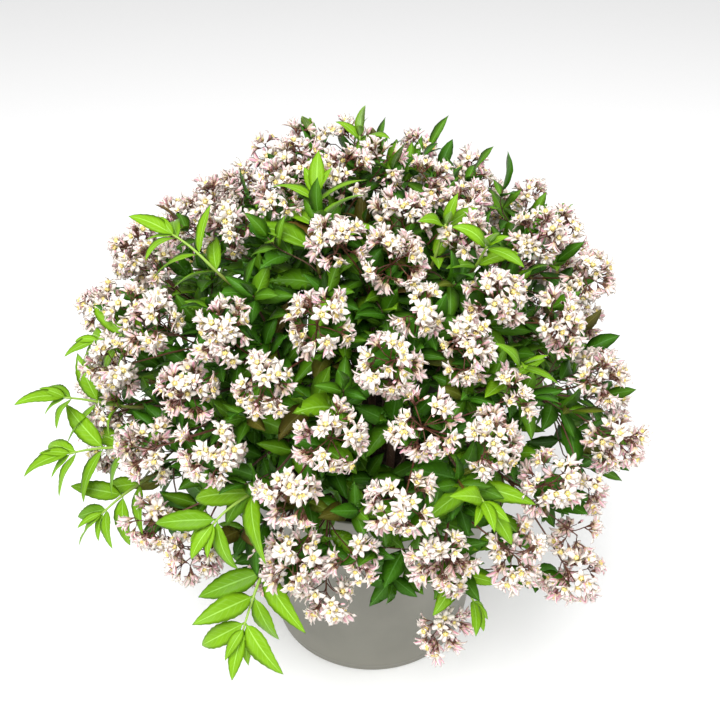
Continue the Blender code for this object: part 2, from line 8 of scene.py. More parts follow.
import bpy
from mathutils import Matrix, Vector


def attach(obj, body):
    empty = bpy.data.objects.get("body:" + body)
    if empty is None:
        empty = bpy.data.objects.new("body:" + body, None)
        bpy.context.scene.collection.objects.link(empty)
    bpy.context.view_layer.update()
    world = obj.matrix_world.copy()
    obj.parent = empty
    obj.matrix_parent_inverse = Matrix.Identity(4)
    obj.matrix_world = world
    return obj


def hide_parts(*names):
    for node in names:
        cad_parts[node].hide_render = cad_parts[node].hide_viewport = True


bl_info = {
    "name": "Potted deutzia",
    "version": (1, 0, 0),
    "blender": (4, 5, 0),
    "location": "3D View > Sidebar > Deutzia",
    "description": "Builds the flowers, leaves, canes, soil and pot of a small flowering shrub",
    "category": "Object",
}

import math

import bpy
import numpy as np

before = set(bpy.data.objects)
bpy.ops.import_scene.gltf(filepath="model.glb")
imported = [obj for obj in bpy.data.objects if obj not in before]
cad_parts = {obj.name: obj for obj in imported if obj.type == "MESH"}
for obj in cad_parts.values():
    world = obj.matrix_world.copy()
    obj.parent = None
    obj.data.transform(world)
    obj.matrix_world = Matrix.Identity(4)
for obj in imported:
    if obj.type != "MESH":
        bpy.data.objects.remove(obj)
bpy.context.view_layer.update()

MM = 0.001
UP = np.array((0.0, 0.0, 1.0))
GOLDEN_TURN = math.pi * (3 - math.sqrt(5))

# The lines of the plant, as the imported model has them
BUSH_CENTRE = np.array((0.0, 0.0, 320 * MM))
SOIL_LEVEL = 198 * MM
OUTER_CANES = (-65, -35, -8, 20, 60, 120, 180, 240)
INNER_CANES = (-50, 130)
OUTER_FOOT, OUTER_TOP, OUTER_TOP_HEIGHT, OUTER_LEAN = 46 * MM, 118 * MM, 350 * MM, 40
INNER_FOOT, INNER_TOP, INNER_TOP_HEIGHT, INNER_LEAN = 17 * MM, 42 * MM, 405 * MM, 70
INNER_FROM_CLIMB = 42
FIRST_TWIG, LAST_TWIG = 0.30, 0.96
CANE_RADII = (4.2 * MM, 2.4 * MM)
TRUSS_DEPTH = 72 * MM
FLOWER_SHARE = 0.32
FORK_LENGTH = 8 * MM
LEAF_STALK = 0.06

# The flower trusses, each with the places of its heads
TRUSSES = (
    ((-95, 70, 190), (-50, 80, 188)),
    ((-64, 50, 198), (-96, 46, 200)),
    ((15, 67, 183), (60, 63, 183)),
    ((64, 46, 206), (67, 32, 218), (90, 36, 200)),
    ((-15, 56, 203), (7, 52, 202)),
    ((32, 40, 217), (46, 30, 222)),
    ((50, 17, 234), (49, 5, 246)),
    ((20, 32, 224), (2, 31, 227)),
    ((-14, 38, 219), (-22, 25, 235)),
    ((-34, 32, 232), (-38, 20, 240)),
    ((-52, 28, 238), (-57, 16, 250)),
    ((-77, 33, 236), (-74, 19, 246)),
    ((-63, -4, 251), (-71, 6, 248)),
    ((-43, 7, 252), (-29, 12, 247)),
    ((-8, 18, 240), (-15, 8, 247)),
    ((8, 20, 238), (4, 7, 250), (20, 16, 242)),
    ((-14, -5, 252), (-9, -16, 250)),
    ((10, -3, 258), (23, -5, 262)),
    ((34, -13, 276), (30, 6, 252)),
    ((14, -28, 258),),
    ((-32, -9, 262), (-44, -10, 256)),
    ((84, 15, 184), (102, 19, 183), (94, -3, 192)),
    ((121, 14, 200), (137, 25, 192), (126, -3, 212)),
    ((110, -11, 208), (127, -19, 225), (143, -8, 235)),
    ((150, 11, 215), (166, 20, 206), (164, 4, 228)),
    ((128, 45, 176), (165, 41, 172), (205, 41, 174)),
    ((172, -12, 236), (187, -2, 240), (203, -9, 238)),
    ((190, 18, 210), (207, 9, 222), (224, 21, 210)),
    ((228, 2, 236), (242, 9, 236), (251, -5, 238)),
    ((240, 42, 188), (252, 29, 212), (263, 21, 234)),
)

# The green shoots: the place of the foot, the place of the tip, the pairs of leaves,
# the length of the longest leaf in millimetres and how far the tip sags in millimetres
SHOOTS = (
    ((-150, 79, 150), (-160, 82, 226), 3, 40, 0),
    ((-150, 58, 150), (-128, 70, 225), 2, 34, 0),
    ((-25, 52, 165), (-43, 73, 225), 3, 56, 0),
    ((-47, 40, 190), (-66, 43, 272), 3, 44, 10),
    ((-60, 22, 205), (-68, 15, 282), 3, 48, 10),
    ((-60, 4, 215), (-63, 10, 318), 3, 44, 4),
    ((-54, -1, 220), (-58, 2, 326), 3, 52, 8),
    ((-53, -8, 225), (-52, -10, 312), 3, 46, 8),
    ((-22, 4, 215), (-29, -1, 290), 2, 55, 14),
    ((-21, -12, 225), (-21, -18, 326), 3, 58, 14),
    ((27, 54, 155), (35, 62, 220), 2, 42, 0),
    ((38, 48, 175), (36, 51, 235), 2, 38, 0),
    ((30, 21, 190), (31, 29, 252), 2, 40, 4),
    ((18, 5, 210), (16, 9, 288), 2, 50, 6),
    ((15, -14, 225), (18, -16, 285), 2, 38, 10),
    ((104, 32, 165), (104, 36, 222), 2, 40, 4),
    ((155, -4, 205), (156, -3, 275), 3, 46, 8),
    ((216, -2, 205), (217, 1, 280), 3, 46, 8),
)
STEM_SHARE = 0.62
FIRST_PAIR, LAST_PAIR = 0.30, 0.92
PAIR_TAPER = 0.3
PAIR_ROLL = 50


class Piece:
    """The points, faces and marks of one object, gathered as whole arrays.

    Each point has a form, its place across and along its blade or round and along its bar from
    0 to 1, and a mark: a random share, a share of the second colour, a share of the outer or
    under side, and a share of fading with painted shade on flowers and of bronze on leaves.
    """

    def __init__(self):
        self.points, self.forms, self.marks = [], [], []
        self.faces, self.skins = [], []
        self.count = 0

    def add(self, points, faces, form, mark, skin):
        """Adds copies of one shape: points (copies, count, 3) and the faces of one copy."""
        copies, count = points.shape[:2]
        starts = self.count + np.arange(copies) * count
        for corners in faces:
            corners = np.asarray(corners)
            self.faces.append((corners[None] + starts[:, None, None]).reshape(-1, corners.shape[1]))
            self.skins.append(np.full(copies * len(corners), skin))
        self.points.append(points.reshape(-1, 3))
        self.forms.append(np.broadcast_to(form, (copies, count, 2)).reshape(-1, 2))
        self.marks.append(np.broadcast_to(mark, (copies, count, 4)).reshape(-1, 4))
        self.count += copies * count

    def finish(self, name, skins, replaced=()):
        """Makes the object, which rides on the plant's one body."""
        mesh = bpy.data.meshes.new(name)
        corners = np.concatenate([face.ravel() for face in self.faces])
        sizes = np.concatenate([np.full(len(face), face.shape[1]) for face in self.faces])
        mesh.vertices.add(self.count)
        mesh.vertices.foreach_set("co", np.concatenate(self.points).astype(np.float32).ravel())
        mesh.loops.add(len(corners))
        mesh.loops.foreach_set("vertex_index", corners.astype(np.int32))
        mesh.polygons.add(len(sizes))
        mesh.polygons.foreach_set("loop_start", (np.cumsum(sizes) - sizes).astype(np.int32))
        mesh.polygons.foreach_set("material_index", np.concatenate(self.skins).astype(np.int32))
        mesh.polygons.foreach_set("use_smooth", np.ones(len(sizes), bool))
        mesh.update(calc_edges=True)
        form = mesh.uv_layers.new(name="form")
        form.uv.foreach_set("vector", np.concatenate(self.forms)[corners].astype(np.float32).ravel())
        mark = mesh.attributes.new("mark", "FLOAT_COLOR", "POINT")
        mark.data.foreach_set("color", np.concatenate(self.marks).astype(np.float32).ravel())
        for skin in skins:
            mesh.materials.append(skin)
        thing = bpy.data.objects.new(name, mesh)
        bpy.context.scene.collection.objects.link(thing)
        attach(thing, "root")
        if replaced:
            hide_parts(*replaced)
        return thing


def unit(vectors):
    """The vectors at length one."""
    return vectors / np.linalg.norm(vectors, axis=-1, keepdims=True)


def spots(places):
    """The points at places given as bearing, climb and reach."""
    places = np.asarray(places, float)
    bearing, climb = np.radians(places[..., 0]), np.radians(places[..., 1])
    level = np.cos(climb)
    ways = np.stack((level * np.sin(bearing), -level * np.cos(bearing), np.sin(climb)), axis=-1)
    return BUSH_CENTRE + ways * places[..., 2:] * MM


def round_pot(bearing, radius, height):
    """The point at a bearing in degrees, a radius and a height round the pot's axis."""
    turn = math.radians(bearing)
    return np.array([radius * math.sin(turn), -radius * math.cos(turn), height])


def curve(start, start_way, end, end_way, steps, slack=0.38):
    """A cubic arc: (1-t)^3 a + 3(1-t)^2 t b + 3(1-t)t^2 c + t^3 d, with b and c along its end ways."""
    pull = slack * np.linalg.norm(end - start, axis=-1, keepdims=True)
    first, last = start + pull * start_way, end - pull * end_way
    t = np.linspace(0, 1, steps + 1)[:, None]
    start, first, last, end = (np.expand_dims(point, -2) for point in (start, first, last, end))
    return (1 - t)**3 * start + 3 * (1 - t)**2 * t * first + 3 * (1 - t) * t**2 * last + t**3 * end


def point_on(line, share):
    """The point at a share of the steps of a line, and the way of the line there."""
    place = share * (len(line) - 1)
    before = min(int(place), len(line) - 2)
    step = line[before + 1] - line[before]
    return line[before] + (place - before) * step, unit(step)


def ring_faces(rows, columns, pointed=False):
    """The quads between rings of points, a face that closes the first ring, and one for the last.

    A pointed shape has one more point past its last ring, and triangles that run up to it.
    """
    ring = np.arange(columns)
    base = (np.arange(rows - 1) * columns)[:, None]
    here, after = base + ring, base + (ring + 1) % columns
    quads = np.stack((here, after, after + columns, here + columns), axis=-1).reshape(-1, 4)
    last = (rows - 1) * columns + ring
    if not pointed:
        return [quads, ring[None, ::-1], last[None]]
    cap = np.stack((last, np.roll(last, -1), np.full(columns, rows * columns)), axis=-1)
    return [quads, ring[None, ::-1], cap]


def bars(paths, radii, sides):
    """Round bars. A ring is path + radius * (cos a * side + sin a * across), square to the path."""
    ways = unit(np.gradient(paths, axis=1))
    general = unit(paths[:, -1] - paths[:, 0])
    aside = np.where(np.abs(general[:, :1]) < 0.6, (1.0, 0.1, 0.0), (0.0, 1.0, 0.1))
    side = unit(np.cross(general, aside))[:, None]
    side = unit(side - ways * np.sum(side * ways, axis=-1, keepdims=True))
    across = np.cross(ways, side)
    turn = np.arange(sides) * 2 * math.pi / sides
    out = np.cos(turn)[:, None] * side[:, :, None] + np.sin(turn)[:, None] * across[:, :, None]
    points = paths[:, :, None] + np.asarray(radii)[..., None, None] * out
    rows = paths.shape[1]
    form = np.stack(np.broadcast_arrays(turn / (2 * math.pi), np.linspace(0, 1, rows)[:, None]), axis=-1)
    return points.reshape(len(paths), -1, 3), ring_faces(rows, sides), form.reshape(-1, 2)


def blades(root, way, upper, length, half, turn, section, stations, fold=0.2, thick=0.3 * MM,
           teeth=0.0, wave=0.0, twist=0.0):
    """Thin closed pointed blades: leaves and petals.

    The mid-line leaves the root along the way and turns from the upper side by the angle given
    at each station: middle(t) = root + sum of length * dt * (cos turn * way - sin turn * upper).
    A ring of the section stands round it: middle + side * half(t) * across
    + (|side| * half(t) * fold + lift * thick) * normal, turned round the mid-line by twist * t.
    Every second ring's edge stands out and forwards as a tooth, and the edges rise and fall by
    wave * half(t) * sin(9 t + side). The last station is the point.
    """
    count, rows, columns = len(root), len(stations), len(section)
    t = np.asarray(stations)
    across = unit(np.cross(upper, way))
    upper = np.cross(way, across)
    turn = np.broadcast_to(turn, (count, rows))[..., None]
    lines = np.cos(turn) * way[:, None] - np.sin(turn) * upper[:, None]
    normal = np.sin(turn) * way[:, None] + np.cos(turn) * upper[:, None]
    spin = (np.broadcast_to(twist, (count,))[:, None] * t)[..., None]
    across, normal = (np.cos(spin) * across[:, None] + np.sin(spin) * normal,
                      np.cos(spin) * normal - np.sin(spin) * across[:, None])
    steps = (lines[:, 1:] + lines[:, :-1]) / 2 * np.diff(t)[:, None] * length[:, None, None]
    middle = root[:, None] + np.concatenate((np.zeros((count, 1, 3)), np.cumsum(steps, axis=1)), axis=1)
    side, lift = np.asarray(section, float).T
    half = np.broadcast_to(half, (count, rows))[..., None]
    tooth = teeth * (np.abs(side) == 1) * (np.arange(rows) % 2)[:, None] * (t * (1 - t) > 0.06)[:, None]
    width = half * (1 + tooth)
    rise = np.abs(side) * width * np.broadcast_to(fold, (count,))[:, None, None]
    rise = rise + lift * thick * (0.3 + 0.7 * np.sin(math.pi * t))[:, None]
    rise = rise + wave * np.abs(side) * width * np.sin(9 * t[:, None] + 1.7 * side)
    points = middle[:, :, None] + (side * width)[..., None] * across[:, :, None]
    points = points + rise[..., None] * normal[:, :, None]
    points = points + (0.6 * tooth * half)[..., None] * lines[:, :, None]
    points = np.concatenate((points[:, :-1].reshape(count, -1, 3), middle[:, -1:]), axis=1)
    form = np.stack(np.broadcast_arrays(0.5 + 0.5 * side, t[:-1, None]), axis=-1).reshape(-1, 2)
    return points, ring_faces(rows - 1, columns, pointed=True), np.vstack((form, (0.5, 1.0)))


def marks(count, points, second=0.0, outer=0.0, fade_and_shade=0.0, draw=None):
    """The marks of copies of a shape: one random share for each copy, and the shares given."""
    mark = np.zeros((count, points, 4))
    mark[..., 0] = draw.random((count, 1)) if draw is not None else 0.5
    mark[..., 1] = np.asarray(second).reshape(-1, 1) if np.ndim(second) else second
    mark[..., 2] = outer
    # The fourth share holds a flower's fading with painted shade, and a leaf's bronze.
    mark[..., 3] = np.asarray(fade_and_shade).reshape(-1, 1) if np.ndim(fade_and_shade) else fade_and_shade
    return mark


# A blade's ring: edge, upper rib, edge, rib below. A broad leaf's has two more points on top
NARROW_SECTION = ((-1, 0), (0, 0.5), (1, 0), (0, -0.5))
BROAD_SECTION = ((-1, 0), (-0.5, 0.6), (0, 0.1), (0.5, 0.6), (1, 0), (0, -1))
NARROW_UNDER = (0.0, 0.0, 0.0, 1.0)
BROAD_UNDER = (0.25, 0.0, 0.0, 0.0, 0.25, 1.0)
PETAL_STATIONS = (0, 0.36, 0.74, 1)
PETAL_HALF = (0.44, 1.0, 0.76, 0)
PETAL_FLARE = (0, 0.22, 0.68, 1)


def add_flowers(piece, base, axis, size, opening, pink, fade_and_shade, draw):
    """Five-petalled flowers with their stamens and cups, each opening along its own axis."""
    settings = bpy.context.scene.deutzia_flowers
    count = len(base)
    level = unit(np.cross(axis, unit(draw.normal(size=(count, 3)))))
    across = np.cross(axis, level)
    turn = np.arange(5) * 2 * math.pi / 5 + draw.normal(0, 0.14, (count, 5))
    radial = np.cos(turn)[..., None] * level[:, None] + np.sin(turn)[..., None] * across[:, None]
    radial = radial.reshape(-1, 3)
    lift = np.repeat(axis, 5, axis=0)
    grow = np.repeat(size, 5) * draw.uniform(0.88, 1.1, 5 * count)
    start = math.radians(24)
    way = math.cos(start) * lift + math.sin(start) * radial
    inner = math.sin(start) * lift - math.cos(start) * radial
    way = unit(way + draw.normal(0, 0.1, way.shape))
    root = np.repeat(base, 5, axis=0) + radial * (0.8 * MM * grow)[:, None]
    bend = np.radians(100 * np.repeat(opening, 5) + draw.normal(0, 14, 5 * count))
    half = settings.petal_width / 2 * grow[:, None] * np.array(PETAL_HALF)
    points, faces, form = blades(
        root, way, inner, settings.petal_length * grow, half, bend[:, None] * np.array(PETAL_FLARE),
        NARROW_SECTION, PETAL_STATIONS, fold=np.repeat(0.62 - 0.3 * opening, 5), thick=0.4 * MM,
        twist=draw.normal(0, 0.35, 5 * count))
    outer = np.append(np.tile(NARROW_UNDER, len(PETAL_STATIONS) - 1), 0.3)
    mark = marks(5 * count, points.shape[1], np.repeat(pink, 5), outer, np.repeat(fade_and_shade, 5))
    mark[..., 0] = np.repeat(draw.random(count), 5)[:, None]
    piece.add(points, faces, form, mark, 0)

    top = base + axis * (4.4 * MM * size)[:, None]
    paths = np.stack((base, top), axis=1)
    radii = np.array((0.7, 1.5)) * MM * size[:, None]
    points, faces, form = bars(paths, radii, 4)
    piece.add(points, faces, form, marks(count, points.shape[1], fade_and_shade=fade_and_shade, draw=draw), 1)
    turn = (np.arange(5) + 0.5) * 2 * math.pi / 5
    out = np.cos(turn)[:, None] * level[:, None] + np.sin(turn)[:, None] * across[:, None]
    spread = (1.0 + 0.6 * opening) * MM * size
    centre = (top[:, None] + out * spread[:, None, None]).reshape(-1, 3)
    add_beads(piece, centre, np.repeat(axis, 5, axis=0), np.repeat(size, 5) * 1.05 * MM, fade_and_shade, draw)
    add_cups(piece, base, axis, size, draw)


def add_beads(piece, centre, axis, radius, fade_and_shade, draw):
    """Small four-faced pollen heads, drawn out along the axis."""
    side = unit(np.cross(axis, UP + 0.01))
    across = np.cross(axis, side)
    turn = np.arange(3) * 2 * math.pi / 3
    ring = np.cos(turn)[:, None] * side[:, None] + np.sin(turn)[:, None] * across[:, None] - 0.5 * axis[:, None]
    points = np.concatenate((1.4 * axis[:, None], ring), axis=1) * radius[:, None, None] + centre[:, None]
    faces = np.array(((0, 1, 2), (0, 2, 3), (0, 3, 1), (1, 3, 2)))
    mark = marks(len(centre), 4, 1.0, fade_and_shade=np.repeat(fade_and_shade, len(centre) // len(fade_and_shade)), draw=draw)
    piece.add(points, [faces], np.full((4, 2), 0.5), mark, 1)


def add_cups(piece, base, axis, size, draw):
    """The dark cups under flowers and buds, narrow below and wide at the mouth."""
    levels = np.array((-3.2, 0.8)) * MM
    paths = base[:, None] + axis[:, None] * (levels * size[:, None])[..., None]
    radii = np.array((0.4, 1.5)) * MM * size[:, None]
    points, faces, form = bars(paths, radii, 4)
    piece.add(points, faces, form, marks(len(base), points.shape[1], draw=draw), 2)


def add_stalks(piece, start, start_way, end, end_way, radii, sides, steps, draw, skin=2, second=0.0):
    """Thin round stalks along smooth arcs."""
    paths = curve(start, start_way, end, end_way, steps)
    points, faces, form = bars(paths, np.broadcast_to(radii, paths.shape[:2]), sides)
    piece.add(points, faces, form, marks(len(paths), points.shape[1], second, draw=draw), skin)


def add_buds(piece, base, axis, size, pink, draw):
    """Long egg-shaped buds on their cups: rings of radius sin(pi t)^0.7 along the axis."""
    t = np.array((0.04, 0.3, 0.68, 0.98))
    length = 7.2 * MM * size
    paths = base[:, None] + axis[:, None] * (t * length[:, None])[..., None]
    radii = 1.8 * MM * size[:, None] * np.sin(math.pi * t) ** 0.7
    points, faces, form = bars(paths, radii, 4)
    outer = np.tile((1.0, 0.35), 2 * len(t))
    piece.add(points, faces, form, marks(len(base), points.shape[1], pink, outer, draw=draw), 0)
    add_cups(piece, base, axis, size, draw)


def add_leaves(piece, root, way, upper, length, draw, rows=9, width=0.4, second=0.0, bronze=0.0,
               bend=34, fold=0.2, broad=False):
    """Pointed leaves with toothed edges on short stalks.

    With s from 0 at the top of the stalk to 1 at the tip, the half width is s^0.62 * (1 - s)^1.05.
    """
    t = np.linspace(0, 1, rows + 1)
    along = np.clip((t - LEAF_STALK) / (1 - LEAF_STALK), 0.004, 1)
    outline = along ** 0.62 * (1.004 - along) ** 1.05
    outline = np.maximum(outline / outline.max(), 0.07)
    half = length[:, None] * width / 2 * outline * draw.uniform(0.85, 1.12, (len(root), 1))
    turn = np.radians(bend + draw.normal(0, 14, (len(root), 1))) * (t ** 1.3 - 0.2)
    section, under = (BROAD_SECTION, BROAD_UNDER) if broad else (NARROW_SECTION, NARROW_UNDER)
    points, faces, form = blades(
        root, way, upper, length, half, turn, section, t, fold=draw.uniform(0.4, 1.4, len(root)) * fold,
        thick=0.5 * MM, teeth=0.06, wave=0.1, twist=draw.normal(0, 0.4, len(root)))
    under = np.append(np.tile(under, rows), 0.3)
    piece.add(points, faces, form, marks(len(root), points.shape[1], second, under, bronze, draw), 1)


def cane_path(bearing, foot, top, top_height, lean):
    """The line of one cane, from below the soil to its arching top."""
    lean = math.radians(lean)
    base = round_pot(bearing, foot, SOIL_LEVEL - 20 * MM)
    collar = round_pot(bearing, foot, SOIL_LEVEL + 8 * MM)
    end = round_pot(bearing, top, top_height)
    outwards = round_pot(bearing, math.cos(lean), math.sin(lean))
    return np.vstack((base, curve(collar, UP, end, outwards, 12)))


def lay_out_plant():
    """The canes with their lines, and the twig of each truss and shoot with the line it follows."""
    canes = [
        {"bearing": bearing, "path": cane_path(bearing, OUTER_FOOT, OUTER_TOP, OUTER_TOP_HEIGHT, OUTER_LEAN)}
        for bearing in OUTER_CANES
    ]
    canes += [
        {"bearing": bearing, "path": cane_path(bearing, INNER_FOOT, INNER_TOP, INNER_TOP_HEIGHT, INNER_LEAN)}
        for bearing in INNER_CANES
    ]
    for cane in canes:
        cane["twigs"] = []
    for number, places in enumerate(TRUSSES):
        heads = spots(places)
        way = unit(heads.mean(axis=0) - BUSH_CENTRE)
        carry(canes, f"truss_{number + 1:02d}", heads.mean(axis=0) - way * TRUSS_DEPTH, way)
    for number, (foot, tip, *_) in enumerate(SHOOTS):
        joint = spots(foot)
        way = unit(unit(spots(tip) - joint) + unit(joint - BUSH_CENTRE))
        carry(canes, f"shoot_{number + 1:02d}", joint, way)
    for cane in canes:
        cane["twigs"].sort(key=lambda twig: twig["climb"])
        shares = np.linspace(FIRST_TWIG, LAST_TWIG, len(cane["twigs"]))
        for twig, share in zip(cane["twigs"], shares):
            path = cane["path"]
            start, ahead = point_on(path[1:], share)
            leave = unit(ahead + unit(twig["joint"] - start))
            twig["path"] = curve(start, leave, twig["joint"], twig["way"], 10)
    return canes


def carry(canes, name, joint, way):
    """Gives a twig to the cane that stands nearest below its joint."""
    out = joint - BUSH_CENTRE
    climb = math.degrees(math.atan2(out[2], math.hypot(out[0], out[1])))
    bearing = math.degrees(math.atan2(out[0], -out[1]))
    choice = canes[len(OUTER_CANES):] if climb > INNER_FROM_CLIMB else canes[:len(OUTER_CANES)]
    nearest = min(choice, key=lambda cane: abs((cane["bearing"] - bearing + 180) % 360 - 180))
    nearest["twigs"].append({"name": name, "joint": joint, "way": way, "climb": climb})


def turned(axis, angle_from, angle_round):
    """Unit vectors at an angle from an axis and an angle round it."""
    side = unit(np.cross(axis, UP + np.array((0.3, 0.2, 0.0))))
    across = np.cross(axis, side)
    from_axis, round_axis = np.asarray(angle_from)[..., None], np.asarray(angle_round)[..., None]
    return np.cos(from_axis) * axis + np.sin(from_axis) * (np.cos(round_axis) * side + np.sin(round_axis) * across)


def add_head(piece, fork, centre, share, draw):
    """One panicle: short side branches round the end of a stalk, each with a cyme of flowers.

    The branches point at golden turns round the stalk, up to 118 degrees from it. A flower stands
    at branch tip + unit(branch way + 0.8 * random) * pedicel, and nods a little.
    """
    settings = bpy.context.scene.deutzia_flowers
    axis = unit(centre - fork)
    centre = centre - axis * 5 * MM
    cymes = max(int(round(settings.cymes * share + draw.uniform(-0.6, 0.6))), 2)
    order = np.arange(cymes) + 0.5
    widest = 1 - math.cos(math.radians(118))
    from_axis = np.arccos(1 - order / cymes * widest) + draw.normal(0, 0.14, cymes)
    branch = turned(axis, from_axis, order * GOLDEN_TURN + draw.uniform(0, 6))
    out = settings.head_radius * math.sqrt(share) * draw.uniform(0.6, 1.1, cymes)
    tips = centre + branch * out[:, None]
    foot = centre + axis * np.linspace(4, -12, cymes)[:, None] * MM
    add_stalks(piece, foot, unit(branch + axis), tips, branch, 0.5 * MM, 3, 3, draw)

    which = np.repeat(np.arange(cymes), settings.flowers_a_cyme)
    count = len(which)
    ways = unit(branch[which] + draw.normal(0, 0.66, (count, 3)) + 0.12 * axis)
    base = tips[which] + ways * (settings.pedicel * draw.uniform(0.7, 1.35, count))[:, None]
    facing = unit(ways + 0.3 * branch[which] - 0.12 * UP + draw.normal(0, 0.26, ways.shape))
    # Fading and painted shade: flowers on cymes that point back from the stalk get a random share of brown, partly
    # faded flowers and partly painted shade deep in the head.
    shade = np.clip((from_axis[which] - 1.5) / 0.7 + draw.normal(0, 0.15, count), 0, 1)
    opening = np.where(draw.random(count) < 0.34, draw.uniform(-0.05, 0.4, count), draw.normal(0.75, 0.16, count))
    pink = np.clip(draw.normal(0.5, 0.26, count) + draw.normal(0.1, 0.12), 0, 1)
    fade_and_shade = np.clip(shade * draw.uniform(0.0, 0.7, count), 0, 1)
    add_flowers(piece, base, facing, draw.uniform(0.84, 1.08, count), opening, pink, fade_and_shade, draw)
    add_stalks(piece, tips[which], branch[which], base - facing * 3 * MM, facing, 0.32 * MM, 3, 2, draw)

    which = draw.integers(0, cymes, int(settings.buds_a_head * share + 1))
    ways = unit(branch[which] + draw.normal(0, 0.8, (len(which), 3)))
    base = tips[which] + ways * (settings.pedicel * draw.uniform(0.9, 1.5, len(which)))[:, None]
    facing = unit(ways - 0.2 * UP + draw.normal(0, 0.35, ways.shape))
    add_buds(piece, base, facing, draw.uniform(0.5, 1.0, len(which)), draw.uniform(0.2, 1.0, len(which)), draw)
    add_stalks(piece, tips[which], branch[which], base - facing * 3 * MM, facing, 0.32 * MM, 3, 2, draw)


def add_truss(piece, twig, places, between, draw):
    """A forked stalk with a panicle on each branch, and small ones that fill in between them."""
    start, way = twig["joint"], twig["way"]
    fork = start + way * FORK_LENGTH
    add_stalks(piece, start[None], way[None], fork[None], way[None], 1.0 * MM, 6, 2, draw)
    for centre in spots(places):
        branch = unit(centre - fork)
        end = centre + branch * 4 * MM
        radii = np.linspace(0.9, 0.6, 7) * MM
        add_stalks(piece, fork[None], unit(way + branch)[None], end[None], branch[None], radii, 5, 6, draw)
        add_head(piece, fork, centre, 1.0, draw)
    for centre in spots(between) if between else ():
        branch = unit(centre - fork)
        add_stalks(piece, fork[None], unit(way + branch)[None], centre[None], branch[None], 0.6 * MM, 4, 5, draw)
        add_head(piece, fork, centre, 0.45, draw)


def add_shoot(piece, row, joint, way, draw):
    """A green stem with toothed leaves in opposite pairs, and a tuft of young leaves at its tip."""
    _, tip_place, pairs, longest, sag = row
    tip = spots(tip_place)
    end = joint + STEM_SHARE * (tip - joint)
    reach = unit(tip - end - (0, 0, sag * MM))
    line = curve(joint, way, end, reach, 12)
    points, faces, form = bars(line[None], np.linspace(1.5, 0.8, 13)[None] * MM, 7)
    piece.add(points, faces, form, marks(1, points.shape[1], 1.0, draw=draw), 0)
    outwards = unit(end * (1, 1, 0))
    roots, ways, uppers, lengths, young = [end - reach * MM], [reach], [UP + 0.3 * outwards], [], [1.0]
    lengths.append(np.linalg.norm(tip - end))
    for pair in range(pairs + 1):
        last = pair == pairs
        share = 0.98 if last else FIRST_PAIR + (LAST_PAIR - FIRST_PAIR) * pair / max(pairs - 1, 1)
        foot, stem_way = point_on(line, share)
        level = unit(np.cross(stem_way, UP))
        lift = np.cross(level, stem_way)
        length = longest * MM * (0.5 if last else 1 - PAIR_TAPER * pair / pairs)
        opening = math.radians(26 if last else 54)
        for side in (-1, 1):
            turn = math.radians(side * PAIR_ROLL * (pair % 2) + draw.uniform(-10, 10))
            aside = math.cos(turn) * side * level + math.sin(turn) * lift
            blade_way = math.cos(opening) * stem_way + math.sin(opening) * aside - 0.12 * UP
            roots.append(foot)
            ways.append(unit(blade_way))
            uppers.append(unit(stem_way + 1.5 * UP + 0.4 * outwards))
            lengths.append(length * draw.uniform(0.92, 1.08))
            young.append(1.0 if last else draw.uniform(0.55, 0.95))
    add_leaves(piece, np.array(roots), np.array(ways), np.array(uppers), np.array(lengths), draw,
               rows=17, width=0.31, second=np.array(young), bend=46, broad=True)


def surface_reach(ways):
    """How far the bush stands out along given ways: the heads' own reaches, weighed by 1 / gap^3."""
    heads = np.concatenate([spots(places) for places in TRUSSES]) - BUSH_CENTRE
    reaches = np.linalg.norm(heads, axis=1)
    gap = np.linalg.norm(ways[:, None] - heads / reaches[:, None], axis=-1)
    weight = 1 / (gap + 0.05) ** 3
    return (weight * reaches).sum(axis=1) / weight.sum(axis=1)


def sprig_tips(draw):
    """Places spread evenly over the bush by the golden turn, set back behind the flower heads."""
    settings = bpy.context.scene.deutzia_leaves
    count = settings.sprigs
    order = np.arange(count) + 0.5
    height = 1 - order / count * (1 - math.sin(math.radians(settings.lowest_climb)))
    bearing = order * GOLDEN_TURN + draw.normal(0, 0.05, count)
    level = np.sqrt(1 - height ** 2)
    ways = np.stack((level * np.sin(bearing), -level * np.cos(bearing), height), axis=-1)
    reach = (surface_reach(ways) - 4 * MM) * draw.uniform(0.86, 0.97, count)
    tips = BUSH_CENTRE + ways * reach[:, None]
    heads = np.concatenate([spots(places) for places in TRUSSES])
    gap = np.linalg.norm(tips[:, None] - heads[None], axis=-1).min(axis=1)
    tips -= ways * (np.where(gap < settings.sprig_gap, 34, 0) * MM)[:, None]
    inner = BUSH_CENTRE + ways[::2] * (reach[::2] * draw.uniform(0.5, 0.72, len(ways[::2])))[:, None]
    return tips, inner


